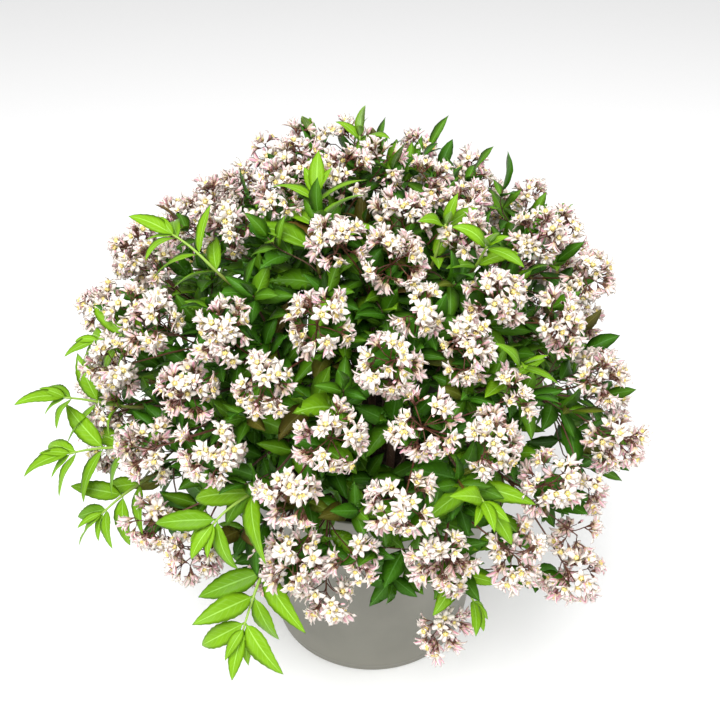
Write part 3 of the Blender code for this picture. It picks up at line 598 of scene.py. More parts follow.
def add_cane_leaves(piece, twigs, sprigs, draw):
    """Dark leaves in pairs along the twigs and along short side sprigs."""
    roots, ways, uppers, lengths = [], [], [], []

    def pair_at(foot, stem_way, roll, length, opening):
        level = unit(np.cross(stem_way, UP + 0.01))
        lift = np.cross(level, stem_way)
        out = unit(foot - BUSH_CENTRE * (1, 1, 0.8))
        for side in (-1, 1):
            turn = roll + draw.uniform(-0.3, 0.3)
            aside = side * (math.cos(turn) * level + math.sin(turn) * lift)
            roots.append(foot)
            ways.append(unit(math.cos(opening) * stem_way + math.sin(opening) * aside))
            uppers.append(unit(0.5 * stem_way + 0.9 * UP + 0.9 * out + draw.normal(0, 0.2, 3)))
            lengths.append(length * draw.uniform(0.85, 1.15))

    for twig in twigs:
        for number, share in enumerate((0.45, 0.62, 0.78, 0.93)):
            foot, stem_way = point_on(twig["path"], share)
            pair_at(foot, stem_way, number % 2 * math.pi / 2 + 0.4, draw.uniform(30, 42) * MM, 1.0)
    for line in sprigs:
        for number, share in enumerate((0.5, 0.72, 0.9)):
            foot, stem_way = point_on(line, share)
            pair_at(foot, stem_way, number % 2 * math.pi / 2 + 0.2, draw.uniform(30, 44) * MM * (1 - 0.15 * number), 0.95)
        foot, stem_way = point_on(line, 1.0)
        roots.append(foot)
        ways.append(stem_way)
        uppers.append(unit(UP + unit(foot - BUSH_CENTRE) + draw.normal(0, 0.2, 3)))
        lengths.append(draw.uniform(26, 36) * MM)
    count = len(roots)
    bronze = np.where(draw.random(count) < 0.06, draw.uniform(0.5, 1.0, count), 0.0)
    second = np.clip(draw.normal(0.2, 0.18, count), 0, 0.7)
    add_leaves(piece, np.array(roots), np.array(ways), np.array(uppers), np.array(lengths), draw,
               second=second, bronze=bronze)


def add_node(tree, kind, inputs=(), **settings):
    """A shader node with its settings, its plain inputs set and its other inputs linked."""
    made = tree.nodes.new(kind)
    for name, value in settings.items():
        setattr(made, name, value)
    for name, value in dict(inputs).items():
        if isinstance(value, bpy.types.NodeSocket):
            tree.links.new(value, made.inputs[name])
        else:
            made.inputs[name].default_value = value
    return made


def mixed(tree, share, first, second):
    """The output of a colour mix."""
    made = add_node(tree, "ShaderNodeMix", data_type="RGBA")
    for place, value in ((0, share), (6, first), (7, second)):
        if isinstance(value, bpy.types.NodeSocket):
            tree.links.new(value, made.inputs[place])
        else:
            made.inputs[place].default_value = value
    return made.outputs[2]


def worked(tree, operation, *values):
    """The output of a math node."""
    made = add_node(tree, "ShaderNodeMath", operation=operation)
    for place, value in enumerate(values):
        if isinstance(value, bpy.types.NodeSocket):
            tree.links.new(value, made.inputs[place])
        else:
            made.inputs[place].default_value = value
    return made.outputs[0]


def stepped(tree, value, low, high):
    """A smooth step from 0 at low to 1 at high."""
    made = add_node(tree, "ShaderNodeMapRange", interpolation_type="SMOOTHSTEP")
    tree.links.new(value, made.inputs["Value"])
    made.inputs["From Min"].default_value = low
    made.inputs["From Max"].default_value = high
    return made.outputs["Result"]


def blade_group():
    """The veins of a leaf: a mid-rib and side veins that slant towards the tip."""
    tree = bpy.data.node_groups.new("leaf veins", "ShaderNodeTree")
    for name, kind in (("Form", "NodeSocketVector"), ("Side veins", "NodeSocketFloat")):
        tree.interface.new_socket(name, in_out="INPUT", socket_type=kind)
    for name in ("Rib", "Veins", "Height"):
        tree.interface.new_socket(name, in_out="OUTPUT", socket_type="NodeSocketFloat")
    given = tree.nodes.new("NodeGroupInput")
    form = add_node(tree, "ShaderNodeSeparateXYZ", {"Vector": given.outputs["Form"]})
    aside = worked(tree, "ABSOLUTE", worked(tree, "SUBTRACT", form.outputs["X"], 0.5))
    slant = worked(tree, "SUBTRACT", form.outputs["Y"], worked(tree, "MULTIPLY", aside, 0.42))
    wave = worked(tree, "FRACT", worked(tree, "MULTIPLY", slant, given.outputs["Side veins"]))
    beside = worked(tree, "ABSOLUTE", worked(tree, "SUBTRACT", wave, 0.5))
    veins = worked(tree, "SUBTRACT", 1.0, stepped(tree, beside, 0.0, 0.16))
    veins = worked(tree, "MULTIPLY", veins, worked(tree, "SUBTRACT", 1.0, stepped(tree, aside, 0.20, 0.47)))
    rib = worked(tree, "SUBTRACT", 1.0, stepped(tree, aside, 0.012, 0.05))
    height = worked(tree, "SUBTRACT", 1.0, worked(tree, "MAXIMUM", rib, worked(tree, "MULTIPLY", veins, 0.6)))
    out = tree.nodes.new("NodeGroupOutput")
    for name, value in (("Rib", rib), ("Veins", veins), ("Height", height)):
        tree.links.new(value, out.inputs[name])
    return tree


def mottle_group():
    """Two sizes of noise on the piece, from 0 to 1."""
    tree = bpy.data.node_groups.new("mottle", "ShaderNodeTree")
    for name, value in (("Broad", 40.0), ("Fine", 600.0)):
        socket = tree.interface.new_socket(name, in_out="INPUT", socket_type="NodeSocketFloat")
        socket.default_value = value
    for name in ("Broad", "Fine"):
        tree.interface.new_socket(name, in_out="OUTPUT", socket_type="NodeSocketFloat")
    given = tree.nodes.new("NodeGroupInput")
    place = tree.nodes.new("ShaderNodeTexCoord").outputs["Object"]
    out = tree.nodes.new("NodeGroupOutput")
    for name in ("Broad", "Fine"):
        noise = add_node(tree, "ShaderNodeTexNoise", {"Vector": place, "Scale": given.outputs[name], "Detail": 4.0})
        tree.links.new(noise.outputs["Fac"], out.inputs[name])
    return tree


def start_material(name, **inputs):
    """A material with its Principled shader's plain inputs set, as its tree and shader."""
    skin = bpy.data.materials.new(name)
    skin.use_nodes = True
    tree = skin.node_tree
    shader = tree.nodes["Principled BSDF"]
    for key, value in inputs.items():
        shader.inputs[key.replace("_", " ").title().replace("Ior", "IOR")].default_value = value
    return skin, tree, shader


def read_mark(tree):
    """The shares in the mark: random, second colour, outer side, and fading with painted shade on flowers and bronze on
    leaves.
    """
    mark = add_node(tree, "ShaderNodeAttribute", attribute_name="mark")
    parts = add_node(tree, "ShaderNodeSeparateColor", {"Color": mark.outputs["Color"]})
    return parts.outputs["Red"], parts.outputs["Green"], parts.outputs["Blue"], mark.outputs["Alpha"]


def placed_group(tree, group, **inputs):
    """A node group in a material, with its inputs set or linked."""
    made = add_node(tree, "ShaderNodeGroup", node_tree=group)
    for name, value in inputs.items():
        name = name.replace("_", " ")
        if isinstance(value, bpy.types.NodeSocket):
            tree.links.new(value, made.inputs[name])
        else:
            made.inputs[name].default_value = value
    return made.outputs


def add_bump(tree, shader, height, strength, distance):
    """A bump from a height, put on the shader's normal."""
    bump = add_node(tree, "ShaderNodeBump", {"Height": height, "Strength": strength, "Distance": distance})
    tree.links.new(bump.outputs["Normal"], shader.inputs["Normal"])


def leaf_material(name, dark, light, groups):
    """Leaf green that varies from leaf to leaf, with paler veins and a duller under side."""
    skin, tree, shader = start_material(name, roughness=0.42)
    shader.inputs["Specular IOR Level"].default_value = 0.16
    random_share, second, under, bronze = read_mark(tree)
    form = add_node(tree, "ShaderNodeUVMap", uv_map="form").outputs["UV"]
    veins = placed_group(tree, groups["veins"], Form=form, Side_veins=9.0)
    mottle = placed_group(tree, groups["mottle"], Broad=90.0, Fine=900.0)
    young = worked(tree, "ADD", second, worked(tree, "MULTIPLY", worked(tree, "SUBTRACT", random_share, 0.5), 0.35))
    colour = mixed(tree, stepped(tree, young, 0.0, 1.0), dark, light)
    deeper = add_node(tree, "ShaderNodeHueSaturation", {"Color": colour, "Value": 0.62})
    colour = mixed(tree, worked(tree, "MULTIPLY", mottle["Broad"], 0.7), colour, deeper.outputs["Color"])
    colour = mixed(tree, worked(tree, "MULTIPLY", bronze, 0.8), colour, (0.13, 0.035, 0.015, 1))
    paler = add_node(tree, "ShaderNodeHueSaturation", {"Color": colour, "Saturation": 0.85, "Value": 1.9})
    pale = worked(tree, "MAXIMUM", worked(tree, "MULTIPLY", veins["Rib"], 0.7), worked(tree, "MULTIPLY", veins["Veins"], 0.15))
    colour = mixed(tree, pale, colour, paler.outputs["Color"])
    dull = add_node(tree, "ShaderNodeHueSaturation", {"Color": colour, "Saturation": 0.75, "Value": 1.25})
    colour = mixed(tree, stepped(tree, under, 0.3, 0.8), colour, dull.outputs["Color"])
    tree.links.new(colour, shader.inputs["Base Color"])
    tree.links.new(worked(tree, "MULTIPLY_ADD", mottle["Fine"], 0.25, 0.32), shader.inputs["Roughness"])
    add_bump(tree, shader, veins["Height"], 0.4, 0.5 * MM)
    return skin


def petal_material(settings, groups):
    """White petals, cream at the throat and striped with pink along the outer side."""
    skin, tree, shader = start_material("blush petals", roughness=0.6)
    shader.inputs["Specular IOR Level"].default_value = 0.15
    random_share, pink, outer, fade_and_shade = read_mark(tree)
    form = add_node(tree, "ShaderNodeUVMap", uv_map="form").outputs["UV"]
    parts = add_node(tree, "ShaderNodeSeparateXYZ", {"Vector": form})
    aside = worked(tree, "ABSOLUTE", worked(tree, "SUBTRACT", parts.outputs["X"], 0.5))
    mottle = placed_group(tree, groups["mottle"], Broad=150.0, Fine=1200.0)
    throat = worked(tree, "SUBTRACT", 1.0, stepped(tree, parts.outputs["Y"], 0.0, 0.48))
    colour = mixed(tree, throat, (*settings.petal_white, 1), (0.86, 0.78, 0.36, 1))
    blush = worked(tree, "MULTIPLY", stepped(tree, mottle["Broad"], 0.45, 0.75), worked(tree, "MULTIPLY", pink, 0.5))
    colour = mixed(tree, blush, colour, (*settings.blush, 1))
    stripe = worked(tree, "MULTIPLY", stepped(tree, outer, 0.25, 0.9), worked(tree, "MULTIPLY_ADD", pink, 0.8, 0.2))
    colour = mixed(tree, stripe, colour, (*settings.stripe, 1))
    # Fading and painted shade: petals of flowers deep in a head are mixed towards brown, partly faded petals and partly
    # painted shade.
    colour = mixed(tree, worked(tree, "MULTIPLY", fade_and_shade, 0.7), colour, (0.50, 0.30, 0.20, 1))
    tree.links.new(colour, shader.inputs["Base Color"])
    add_bump(tree, shader, worked(tree, "SINE", worked(tree, "MULTIPLY", parts.outputs["X"], 40.0)), 0.25, 0.15 * MM)
    return skin


def stamen_material():
    """Cream filaments with yellow pollen heads."""
    skin, tree, shader = start_material("stamens", roughness=0.6)
    random_share, pollen, _, fade_and_shade = read_mark(tree)
    noise = add_node(tree, "ShaderNodeTexNoise", {"Scale": 2500.0})
    yellow = mixed(tree, noise.outputs["Fac"], (0.78, 0.58, 0.10, 1), (0.90, 0.78, 0.30, 1))
    colour = mixed(tree, pollen, (0.90, 0.84, 0.42, 1), yellow)
    # Fading and painted shade: stamens of flowers deep in a head are mixed towards dark brown.
    colour = mixed(tree, worked(tree, "MULTIPLY", fade_and_shade, 0.6), colour, (0.25, 0.13, 0.06, 1))
    tree.links.new(colour, shader.inputs["Base Color"])
    return skin


def stalk_material(groups):
    """Mahogany stalks and cups."""
    skin, tree, shader = start_material("mahogany stalks", roughness=0.5)
    random_share, *_ = read_mark(tree)
    mottle = placed_group(tree, groups["mottle"], Broad=200.0, Fine=1500.0)
    colour = mixed(tree, mottle["Broad"], (0.045, 0.010, 0.008, 1), (0.15, 0.035, 0.02, 1))
    colour = mixed(tree, worked(tree, "MULTIPLY", random_share, 0.4), colour, (0.16, 0.09, 0.03, 1))
    tree.links.new(colour, shader.inputs["Base Color"])
    add_bump(tree, shader, mottle["Fine"], 0.3, 0.1 * MM)
    return skin


def bark_material(groups):
    """Brown bark with fine lengthwise cracks and pale spots."""
    skin, tree, shader = start_material("bark", roughness=0.8)
    form = add_node(tree, "ShaderNodeUVMap", uv_map="form").outputs["UV"]
    long_grain = add_node(tree, "ShaderNodeMapping", {"Vector": form, "Scale": (14.0, 5.0, 1.0)})
    grain = add_node(tree, "ShaderNodeTexNoise", {"Vector": long_grain.outputs["Vector"], "Scale": 2.0, "Detail": 6.0})
    mottle = placed_group(tree, groups["mottle"], Broad=120.0, Fine=900.0)
    colour = mixed(tree, grain.outputs["Fac"], (0.035, 0.016, 0.010, 1), (0.15, 0.075, 0.04, 1))
    colour = mixed(tree, stepped(tree, mottle["Fine"], 0.62, 0.72), colour, (0.30, 0.22, 0.15, 1))
    tree.links.new(colour, shader.inputs["Base Color"])
    add_bump(tree, shader, grain.outputs["Fac"], 0.6, 0.6 * MM)
    return skin


def stem_material(groups):
    """Young green stems, reddish where they leave the wood."""
    skin, tree, shader = start_material("green stems", roughness=0.5)
    form = add_node(tree, "ShaderNodeUVMap", uv_map="form").outputs["UV"]
    along = add_node(tree, "ShaderNodeSeparateXYZ", {"Vector": form}).outputs["Y"]
    mottle = placed_group(tree, groups["mottle"], Broad=120.0, Fine=900.0)
    colour = mixed(tree, stepped(tree, along, 0.0, 0.55), (0.12, 0.09, 0.02, 1), (0.30, 0.48, 0.06, 1))
    tree.links.new(mixed(tree, worked(tree, "MULTIPLY", mottle["Broad"], 0.4), colour, (0.10, 0.16, 0.02, 1)), shader.inputs["Base Color"])
    return skin


def pot_material(settings, groups):
    """Plain moulded plastic with a faint grain and dust towards the foot."""
    skin, tree, shader = start_material("warm grey plastic", roughness=0.48)
    mottle = placed_group(tree, groups["mottle"], Broad=14.0, Fine=1400.0)
    grey = (*settings.pot_grey, 1)
    deeper = tuple(0.86 * value for value in settings.pot_grey) + (1,)
    colour = mixed(tree, stepped(tree, mottle["Broad"], 0.35, 0.7), grey, deeper)
    place = tree.nodes.new("ShaderNodeTexCoord").outputs["Object"]
    level = add_node(tree, "ShaderNodeSeparateXYZ", {"Vector": place}).outputs["Z"]
    dusty = worked(tree, "MULTIPLY", worked(tree, "SUBTRACT", 1.0, stepped(tree, level, 0.0, 0.05)), mottle["Broad"])
    colour = mixed(tree, worked(tree, "MULTIPLY", dusty, 0.35), colour, (0.34, 0.32, 0.27, 1))
    tree.links.new(colour, shader.inputs["Base Color"])
    tree.links.new(worked(tree, "MULTIPLY_ADD", mottle["Broad"], 0.2, 0.38), shader.inputs["Roughness"])
    add_bump(tree, shader, mottle["Fine"], 0.12, 0.1 * MM)
    return skin


def soil_material(groups):
    """Dark peat with paler fibres."""
    skin, tree, shader = start_material("potting soil", roughness=0.95)
    mottle = placed_group(tree, groups["mottle"], Broad=180.0, Fine=900.0)
    colour = mixed(tree, mottle["Broad"], (0.012, 0.008, 0.006, 1), (0.07, 0.042, 0.026, 1))
    colour = mixed(tree, stepped(tree, mottle["Fine"], 0.66, 0.74), colour, (0.20, 0.14, 0.09, 1))
    tree.links.new(colour, shader.inputs["Base Color"])
    add_bump(tree, shader, mottle["Fine"], 0.8, 1.0 * MM)
    return skin


SKINS = {}


def skins():
    """The materials of the plant, made once."""
    if not SKINS:
        flowers = bpy.context.scene.deutzia_flowers
        leaves = bpy.context.scene.deutzia_leaves
        groups = {"veins": blade_group(), "mottle": mottle_group()}
        SKINS["petal"] = petal_material(flowers, groups)
        SKINS["stamen"] = stamen_material()
        SKINS["stalk"] = stalk_material(groups)
        SKINS["leaf"] = leaf_material("deutzia leaves", (*leaves.dark_green, 1), (*leaves.lime_green, 1), groups)
        SKINS["bark"] = bark_material(groups)
        SKINS["stem"] = stem_material(groups)
        SKINS["pot"] = pot_material(bpy.context.scene.deutzia_pot, groups)
        SKINS["soil"] = soil_material(groups)
    return SKINS


def colour_prop(name, description, default):
    """A colour that the user may change."""
    return bpy.props.FloatVectorProperty(
        name=name, description=description, subtype="COLOR", size=3, min=0.0, max=1.0, default=default)


def length_prop(name, description, default):
    """A length that the user may change."""
    return bpy.props.FloatProperty(name=name, description=description, unit="LENGTH", min=0.0, default=default)


class DeutziaFlowers(bpy.types.PropertyGroup):
    """The sizes and colours of the flowers."""

    petal_length: length_prop("Petal length", "From the cup to the tip of a petal", 9.8 * MM)
    petal_width: length_prop("Petal width", "Across the widest part of a petal", 4.7 * MM)
    head_radius: length_prop("Head radius", "From the middle of a panicle to its cymes", 15 * MM)
    pedicel: length_prop("Pedicel", "From a cyme to the cup of a flower", 6.5 * MM)
    cymes: bpy.props.IntProperty(name="Cymes", description="Side branches of a panicle", default=8)
    flowers_a_cyme: bpy.props.IntProperty(name="Flowers a cyme", description="Open flowers on a side branch", default=5)
    buds_a_head: bpy.props.IntProperty(name="Buds a head", description="Closed buds in a panicle", default=7)
    petal_white: colour_prop("Petal", "The inner side of the petals", (0.88, 0.82, 0.74))
    blush: colour_prop("Blush", "The tint that spreads over the petals", (0.84, 0.58, 0.62))
    stripe: colour_prop("Stripe", "The stripe on the outer side of the petals", (0.74, 0.34, 0.44))


class DeutziaLeaves(bpy.types.PropertyGroup):
    """The number and colours of the leaves."""

    sprigs: bpy.props.IntProperty(name="Sprigs", description="Short leafy side twigs", default=200)
    lowest_climb: bpy.props.FloatProperty(
        name="Lowest climb", description="How far below the bush's middle the sprigs hang, in degrees", default=-26.0)
    sprig_gap: length_prop("Sprig gap", "How near a flower head a sprig is set back", 34 * MM)
    dark_green: colour_prop("Dark green", "The mature leaves", (0.042, 0.155, 0.004))
    lime_green: colour_prop("Lime green", "The young leaves", (0.19, 0.40, 0.006))


class DeutziaPot(bpy.types.PropertyGroup):
    """The sizes and colour of the pot."""

    base_radius: length_prop("Base radius", "Half the width of the pot's foot", 100 * MM)
    rim_radius: length_prop("Rim radius", "Half the width of the pot's rim", 125 * MM)
    height: length_prop("Height", "From the ground to the rim", 222 * MM)
    pot_grey: colour_prop("Pot", "The plastic of the pot", (0.185, 0.18, 0.148))


class DeutziaStage(bpy.types.PropertyGroup):
    """The floor, the light and the camera."""

    floor: colour_prop("Floor", "The floor round the pot", (0.97, 0.97, 0.97))
    key: bpy.props.FloatProperty(name="Key light", description="Power of the main light in watts", default=85.0)
    fill: bpy.props.FloatProperty(name="Fill light", description="Power of the side light in watts", default=18.0)
    sky: bpy.props.FloatProperty(name="Sky", description="Brightness of the light from all round", default=0.66)


class DEUTZIA_OT_pot(bpy.types.Operator):
    """Turn the pot: a tapered shell with a rolled lip, a foot edge and drain holes."""

    bl_idname = "deutzia.pot"
    bl_label = "Build the pot"

    def execute(self, context):
        build_pot(context.scene.deutzia_pot)
        return {"FINISHED"}


class DEUTZIA_OT_soil(bpy.types.Operator):
    """Fill the pot with crumbly soil."""

    bl_idname = "deutzia.soil"
    bl_label = "Build the soil"

    def execute(self, context):
        build_soil()
        return {"FINISHED"}


class DEUTZIA_OT_canes(bpy.types.Operator):
    """Grow the woody canes with their twigs, sprigs and mature leaves."""

    bl_idname = "deutzia.canes"
    bl_label = "Build the canes"

    def execute(self, context):
        build_canes()
        return {"FINISHED"}


class DEUTZIA_OT_trusses(bpy.types.Operator):
    """Set the panicles of flowers and buds on their stalks."""

    bl_idname = "deutzia.trusses"
    bl_label = "Build the flower trusses"

    def execute(self, context):
        build_trusses()
        return {"FINISHED"}


class DEUTZIA_OT_shoots(bpy.types.Operator):
    """Grow this year's green shoots."""

    bl_idname = "deutzia.shoots"
    bl_label = "Build the green shoots"

    def execute(self, context):
        build_shoots()
        return {"FINISHED"}


class DEUTZIA_OT_stage(bpy.types.Operator):
    """Lay the floor, hang the lights and set up the camera."""

    bl_idname = "deutzia.stage"
    bl_label = "Build the stage"

    def execute(self, context):
        build_stage(context.scene.deutzia_stage)
        return {"FINISHED"}


class DEUTZIA_PT_panel(bpy.types.Panel):
    """The sizes and colours of the plant, and a button for each group of pieces."""

    bl_label = "Potted deutzia"
    bl_idname = "DEUTZIA_PT_panel"
    bl_space_type = "VIEW_3D"
    bl_region_type = "UI"
    bl_category = "Deutzia"

    def draw(self, context):
        for holder in HOLDERS:
            settings = getattr(context.scene, holder)
            box = self.layout.box()
            for name in settings.__annotations__:
                box.prop(settings, name)
        for operator in OPERATORS:
            self.layout.operator(operator.bl_idname)


OPERATORS = (
    DEUTZIA_OT_stage, DEUTZIA_OT_pot, DEUTZIA_OT_soil, DEUTZIA_OT_canes, DEUTZIA_OT_trusses, DEUTZIA_OT_shoots,
)
HOLDERS = {
    "deutzia_flowers": DeutziaFlowers,
    "deutzia_leaves": DeutziaLeaves,
    "deutzia_pot": DeutziaPot,
    "deutzia_stage": DeutziaStage,
}


def build_pot(settings):
    """Turns a profile round the Z axis: a point is (r cos a, r sin a, z) for each r, z of the profile."""
    lip, lip_height, wall, floor, edge = 2.5 * MM, 12 * MM, 3 * MM, 4 * MM, 4 * MM
    slope = (settings.rim_radius - lip - settings.base_radius) / settings.height

    def outside(level):
        return settings.base_radius + slope * level

    profile = [(settings.base_radius * 0.45, 0.0)]
    for angle in np.radians(np.linspace(90, 0, 7)):
        profile.append((outside(0) - edge + edge * math.cos(angle), edge - edge * math.sin(angle)))
    profile += [(outside(9 * MM), 9 * MM), (outside(10 * MM) + 0.35 * MM, 9.6 * MM)]
    profile += [(outside(level) + 0.35 * MM, level) for level in np.linspace(11 * MM, settings.height - lip_height - MM, 9)]
    under_lip = settings.height - lip_height
    profile += [(outside(under_lip) + lip - 1.2 * MM, under_lip)]
    for angle in np.radians((-60, -20, 10)):
        profile.append((outside(under_lip) + lip - 1.0 * MM + math.cos(angle) * MM, under_lip + MM + math.sin(angle) * MM))
    for angle in np.radians(np.linspace(0, 180, 9)):
        middle = settings.rim_radius - 1.6 * MM
        profile.append((middle + 1.5 * MM * math.cos(angle), settings.height - 1.5 * MM + 1.5 * MM * math.sin(angle)))
    profile += [(outside(level) - wall, level) for level in np.linspace(settings.height - 8 * MM, floor + 3 * MM, 8)]
    profile += [(outside(floor) - wall - MM, floor + MM), (outside(floor) - wall - 3 * MM, floor)]
    profile += [(settings.base_radius * 0.45, floor)]
    radius, height = np.array(profile).T
    sides = 144
    turn = np.arange(sides) * 2 * math.pi / sides
    shell = np.stack(np.broadcast_arrays(radius[:, None] * np.sin(turn), -radius[:, None] * np.cos(turn), height[:, None]), axis=-1)
    rows = len(profile)
    piece = Piece()
    form = np.stack(np.broadcast_arrays(turn / (2 * math.pi), np.linspace(0, 1, rows)[:, None]), axis=-1)
    quads, bottom, top = ring_faces(rows, sides)
    piece.add(shell.reshape(1, -1, 3), [quads, bottom, top], form.reshape(-1, 2), marks(1, rows * sides), 0)
    thing = piece.finish("pot_shell", [skins()["pot"]], ["pot"])
    drill_drains(thing)


def drill_drains(pot):
    """Cuts four round drain holes through the floor of the pot."""
    piece = Piece()
    ends = [np.array([round_pot(bearing, 68 * MM, level) for level in (-6 * MM, 10 * MM)]) for bearing in (0, 90, 180, 270)]
    points, faces, form = bars(np.array(ends), np.full((4, 2), 6 * MM), 24)
    piece.add(points, faces, form, marks(4, points.shape[1]), 0)
    drill = piece.finish("drains", [skins()["pot"]])
    cut = pot.modifiers.new("drains", "BOOLEAN")
    cut.operation = "DIFFERENCE"
    cut.solver = "EXACT"
    cut.object = drill
    bpy.context.view_layer.update()
    mesh = bpy.data.meshes.new_from_object(pot.evaluated_get(bpy.context.evaluated_depsgraph_get()))
    pot.modifiers.clear()
    pot.data = mesh
    bpy.data.objects.remove(drill)
    mesh.set_sharp_from_angle(angle=math.radians(40))


def build_soil():
    """A bed of soil with a rough top, height = level + noise, and loose crumbs on it."""
    draw = np.random.default_rng(11)
    settings = bpy.context.scene.deutzia_pot
    slope = (settings.rim_radius - 2.5 * MM - settings.base_radius) / settings.height
    inside = settings.base_radius + slope * SOIL_LEVEL - 3.4 * MM
    rings, sides = 34, 110
    turn = np.arange(sides) * 2 * math.pi / sides
    radius = inside * (np.arange(rings) + 0.3) / (rings - 0.7)
    rough = sum(np.sin(radius[:, None] * f1 + turn * k + p) for f1, k, p in ((90, 3, 0.4), (160, 5, 2.0), (240, 9, 4.1)))
    height = SOIL_LEVEL + 0.8 * MM * rough + draw.normal(0, 0.7 * MM, (rings, sides))
    height[-1] = SOIL_LEVEL - 1.0 * MM
    top = np.stack((radius[:, None] * np.sin(turn), -radius[:, None] * np.cos(turn), height), axis=-1)
    low = np.stack(np.broadcast_arrays(
        (inside - 4 * MM) * np.sin(turn), -(inside - 4 * MM) * np.cos(turn), np.full(sides, SOIL_LEVEL - 40 * MM)), axis=-1)
    points = np.concatenate((low[None], top[::-1]), axis=0)
    piece = Piece()
    rows = rings + 1
    quads, bottom, cap = ring_faces(rows, sides)
    form = np.full((rows * sides, 2), 0.5)
    piece.add(points.reshape(1, -1, 3), [quads, bottom, cap], form, marks(1, rows * sides), 0)
    count = 500
    reach = inside * 0.97 * np.sqrt(draw.random(count))
    bearing = draw.uniform(0, 2 * math.pi, count)
    size = draw.gamma(3.0, 0.55, count) * MM
    centre = np.stack((reach * np.sin(bearing), -reach * np.cos(bearing), np.full(count, SOIL_LEVEL + 1 * MM)), axis=-1)
    t = np.array((0.06, 0.5, 0.94))
    axis = unit(draw.normal(size=(count, 3)))
    paths = centre[:, None] + axis[:, None] * ((t - 0.5) * 2 * size[:, None])[..., None]
    radii = size[:, None] * np.sin(math.pi * t) * draw.uniform(0.7, 1.1, (count, 3))
    points, faces, form = bars(paths, radii, 5)
    piece.add(points, faces, form, marks(count, points.shape[1], draw=draw), 0)
    piece.finish("soil_bed", [skins()["soil"]], ["soil"])


def build_canes():
    """The wood of each cane with its twigs, and its leaves."""
    canes = lay_out_plant()
    draw = np.random.default_rng(23)
    tips = np.concatenate(sprig_tips(draw))
    twigs = [(number, twig) for number, cane in enumerate(canes) for twig in cane["twigs"]]
    lines = np.array([twig["path"] for _, twig in twigs])
    sprigs = [[] for _ in canes]
    for tip in tips:
        outer = lines[:, 3:]
        gap = np.linalg.norm(outer - tip, axis=-1)
        inwards = np.linalg.norm(outer - BUSH_CENTRE, axis=-1) > np.linalg.norm(tip - BUSH_CENTRE) - 25 * MM
        gap = gap + inwards * 0.2
        which, place = np.unravel_index(gap.argmin(), gap.shape)
        start = outer[which, place]
        leave = unit(unit(lines[which, min(place + 4, 10)] - lines[which, place + 2]) + unit(tip - start))
        sprigs[twigs[which][0]].append(curve(start, leave, tip, unit(tip - BUSH_CENTRE + 0.12 * UP), 6))
    for number, cane in enumerate(canes):
        name = f"cane_{number + 1:02d}"
        piece = Piece()
        radii = np.interp(np.arange(len(cane["path"])), (0, 1, len(cane["path"]) - 1), (CANE_RADII[0], *CANE_RADII))
        points, faces, form = bars(cane["path"][None], radii[None], 10)
        piece.add(points, faces, form, marks(1, points.shape[1], draw=draw), 0)
        paths = np.array([twig["path"] for twig in cane["twigs"]])
        points, faces, form = bars(paths, np.linspace(1.5, 0.9, 11) * MM + np.zeros((len(paths), 1)), 6)
        piece.add(points, faces, form, marks(len(paths), points.shape[1], draw=draw), 0)
        if sprigs[number]:
            paths = np.array(sprigs[number])
            points, faces, form = bars(paths, np.linspace(0.8, 0.45, 7) * MM + np.zeros((len(paths), 1)), 4)
            piece.add(points, faces, form, marks(len(paths), points.shape[1], draw=draw), 0)
        add_cane_leaves(piece, cane["twigs"], sprigs[number], draw)
        piece.finish(f"{name}_leafy", [skins()["bark"], skins()["leaf"]], [name])


def places_between(draw):
    """Places for small panicles, spread by the golden turn where no head stands near."""
    count = 420
    order = np.arange(count) + 0.5
    height = 1 - order / count * (1 - math.sin(math.radians(-14)))
    bearing = order * GOLDEN_TURN
    level = np.sqrt(1 - height ** 2)
    ways = np.stack((level * np.sin(bearing), -level * np.cos(bearing), height), axis=-1)
    reaches = surface_reach(ways) - draw.uniform(0, 12 * MM, count)
    heads = np.concatenate([spots(places) for places in TRUSSES])
    owners = np.concatenate([np.full(len(places), number) for number, places in enumerate(TRUSSES)])
    between = [[] for _ in TRUSSES]
    taken = heads
    for way, reach in zip(ways, reaches):
        place = BUSH_CENTRE + way * reach
        if np.linalg.norm(taken - place, axis=1).min() < 33 * MM or draw.random() > FLOWER_SHARE:
            continue
        nearest = owners[np.linalg.norm(heads - place, axis=1).argmin()]
        climb = math.degrees(math.asin(way[2]))
        between[nearest].append((math.degrees(math.atan2(way[0], -way[1])), climb, reach / MM))
        taken = np.vstack((taken, place))
    return between


def build_trusses():
    """Every flower truss."""
    twigs = {twig["name"]: twig for cane in lay_out_plant() for twig in cane["twigs"]}
    between = places_between(np.random.default_rng(77))
    for number, places in enumerate(TRUSSES):
        name = f"truss_{number + 1:02d}"
        piece = Piece()
        add_truss(piece, twigs[name], places, between[number], np.random.default_rng(300 + number))
        piece.finish(f"{name}_flowers", [skins()["petal"], skins()["stamen"], skins()["stalk"]], [name])


def build_shoots():
    """Every green shoot."""
    twigs = {twig["name"]: twig for cane in lay_out_plant() for twig in cane["twigs"]}
    for number, row in enumerate(SHOOTS):
        name = f"shoot_{number + 1:02d}"
        piece = Piece()
        add_shoot(piece, row, twigs[name]["joint"], twigs[name]["way"], np.random.default_rng(500 + number))
        piece.finish(f"{name}_leaves", [skins()["stem"], skins()["leaf"]], [name])


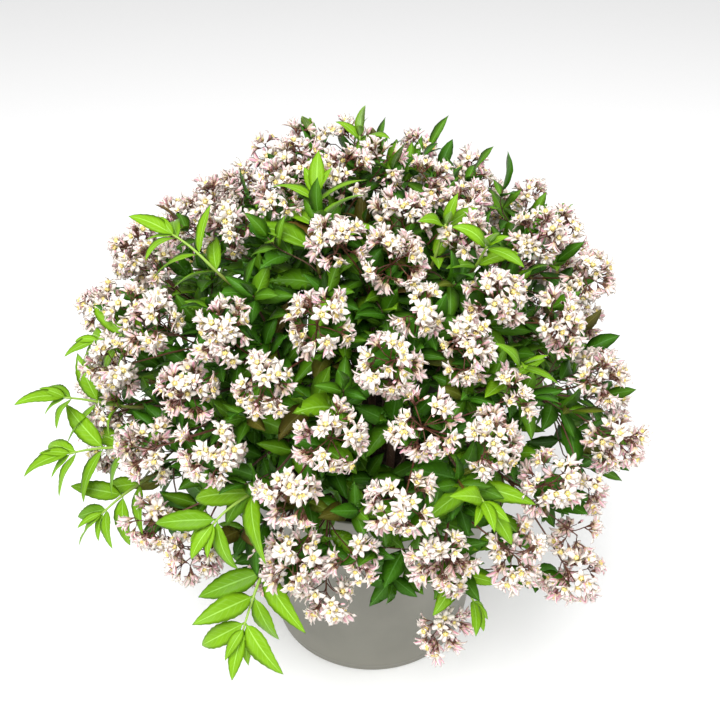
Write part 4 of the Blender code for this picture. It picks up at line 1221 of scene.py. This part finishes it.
def build_stage(settings):
    """A pale floor, a big soft key light, a fill light, light from all round, and the camera."""
    scene = bpy.context.scene
    mesh = bpy.data.meshes.new("floor")
    half = 8.0
    mesh.from_pydata([(-half, -half, 0), (half, -half, 0), (half, half, 0), (-half, half, 0)], [], [(0, 1, 2, 3)])
    floor = bpy.data.objects.new("floor", mesh)
    scene.collection.objects.link(floor)
    skin, tree, shader = start_material("pale floor", roughness=0.9)
    shader.inputs["Base Color"].default_value = (*settings.floor, 1)
    mesh.materials.append(skin)
    world = bpy.data.worlds.new("soft light")
    world.use_nodes = True
    world.node_tree.nodes["Background"].inputs["Color"].default_value = (1, 1, 1, 1)
    world.node_tree.nodes["Background"].inputs["Strength"].default_value = settings.sky
    scene.world = world
    for name, place, size, power in (
        ("key", (-0.55, -1.5, 2.3), 1.5, settings.key),
        ("fill", (1.9, -0.6, 1.5), 1.8, settings.fill),
    ):
        lamp = bpy.data.lights.new(name, "AREA")
        lamp.size = size
        lamp.energy = power
        thing = bpy.data.objects.new(name, lamp)
        thing.location = place
        way = Vector(BUSH_CENTRE) - thing.location
        thing.rotation_euler = way.to_track_quat("-Z", "Y").to_euler()
        scene.collection.objects.link(thing)
    lens = bpy.data.cameras.new("camera")
    lens.lens = 50.0
    lens.sensor_width = 36.0
    camera = bpy.data.objects.new("camera", lens)
    camera.location = (-12 * MM, -766 * MM, 818 * MM)
    camera.rotation_euler = (math.radians(90 - 33.555), 0, 0)
    scene.collection.objects.link(camera)
    scene.camera = camera
    scene.view_settings.view_transform = "Standard"


def register():
    """Registers the settings, the operators and the panel."""
    for holder, group in HOLDERS.items():
        bpy.utils.register_class(group)
        setattr(bpy.types.Scene, holder, bpy.props.PointerProperty(type=group))
    for kind in (*OPERATORS, DEUTZIA_PT_panel):
        bpy.utils.register_class(kind)


def unregister():
    """Takes the settings, the operators and the panel away."""
    for kind in (DEUTZIA_PT_panel, *reversed(OPERATORS)):
        bpy.utils.unregister_class(kind)
    for holder, group in HOLDERS.items():
        delattr(bpy.types.Scene, holder)
        bpy.utils.unregister_class(group)


def main():
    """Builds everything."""
    register()
    for operator in OPERATORS:
        getattr(bpy.ops.deutzia, operator.bl_idname.split(".")[1])()


if __name__ == "__main__":
    main()
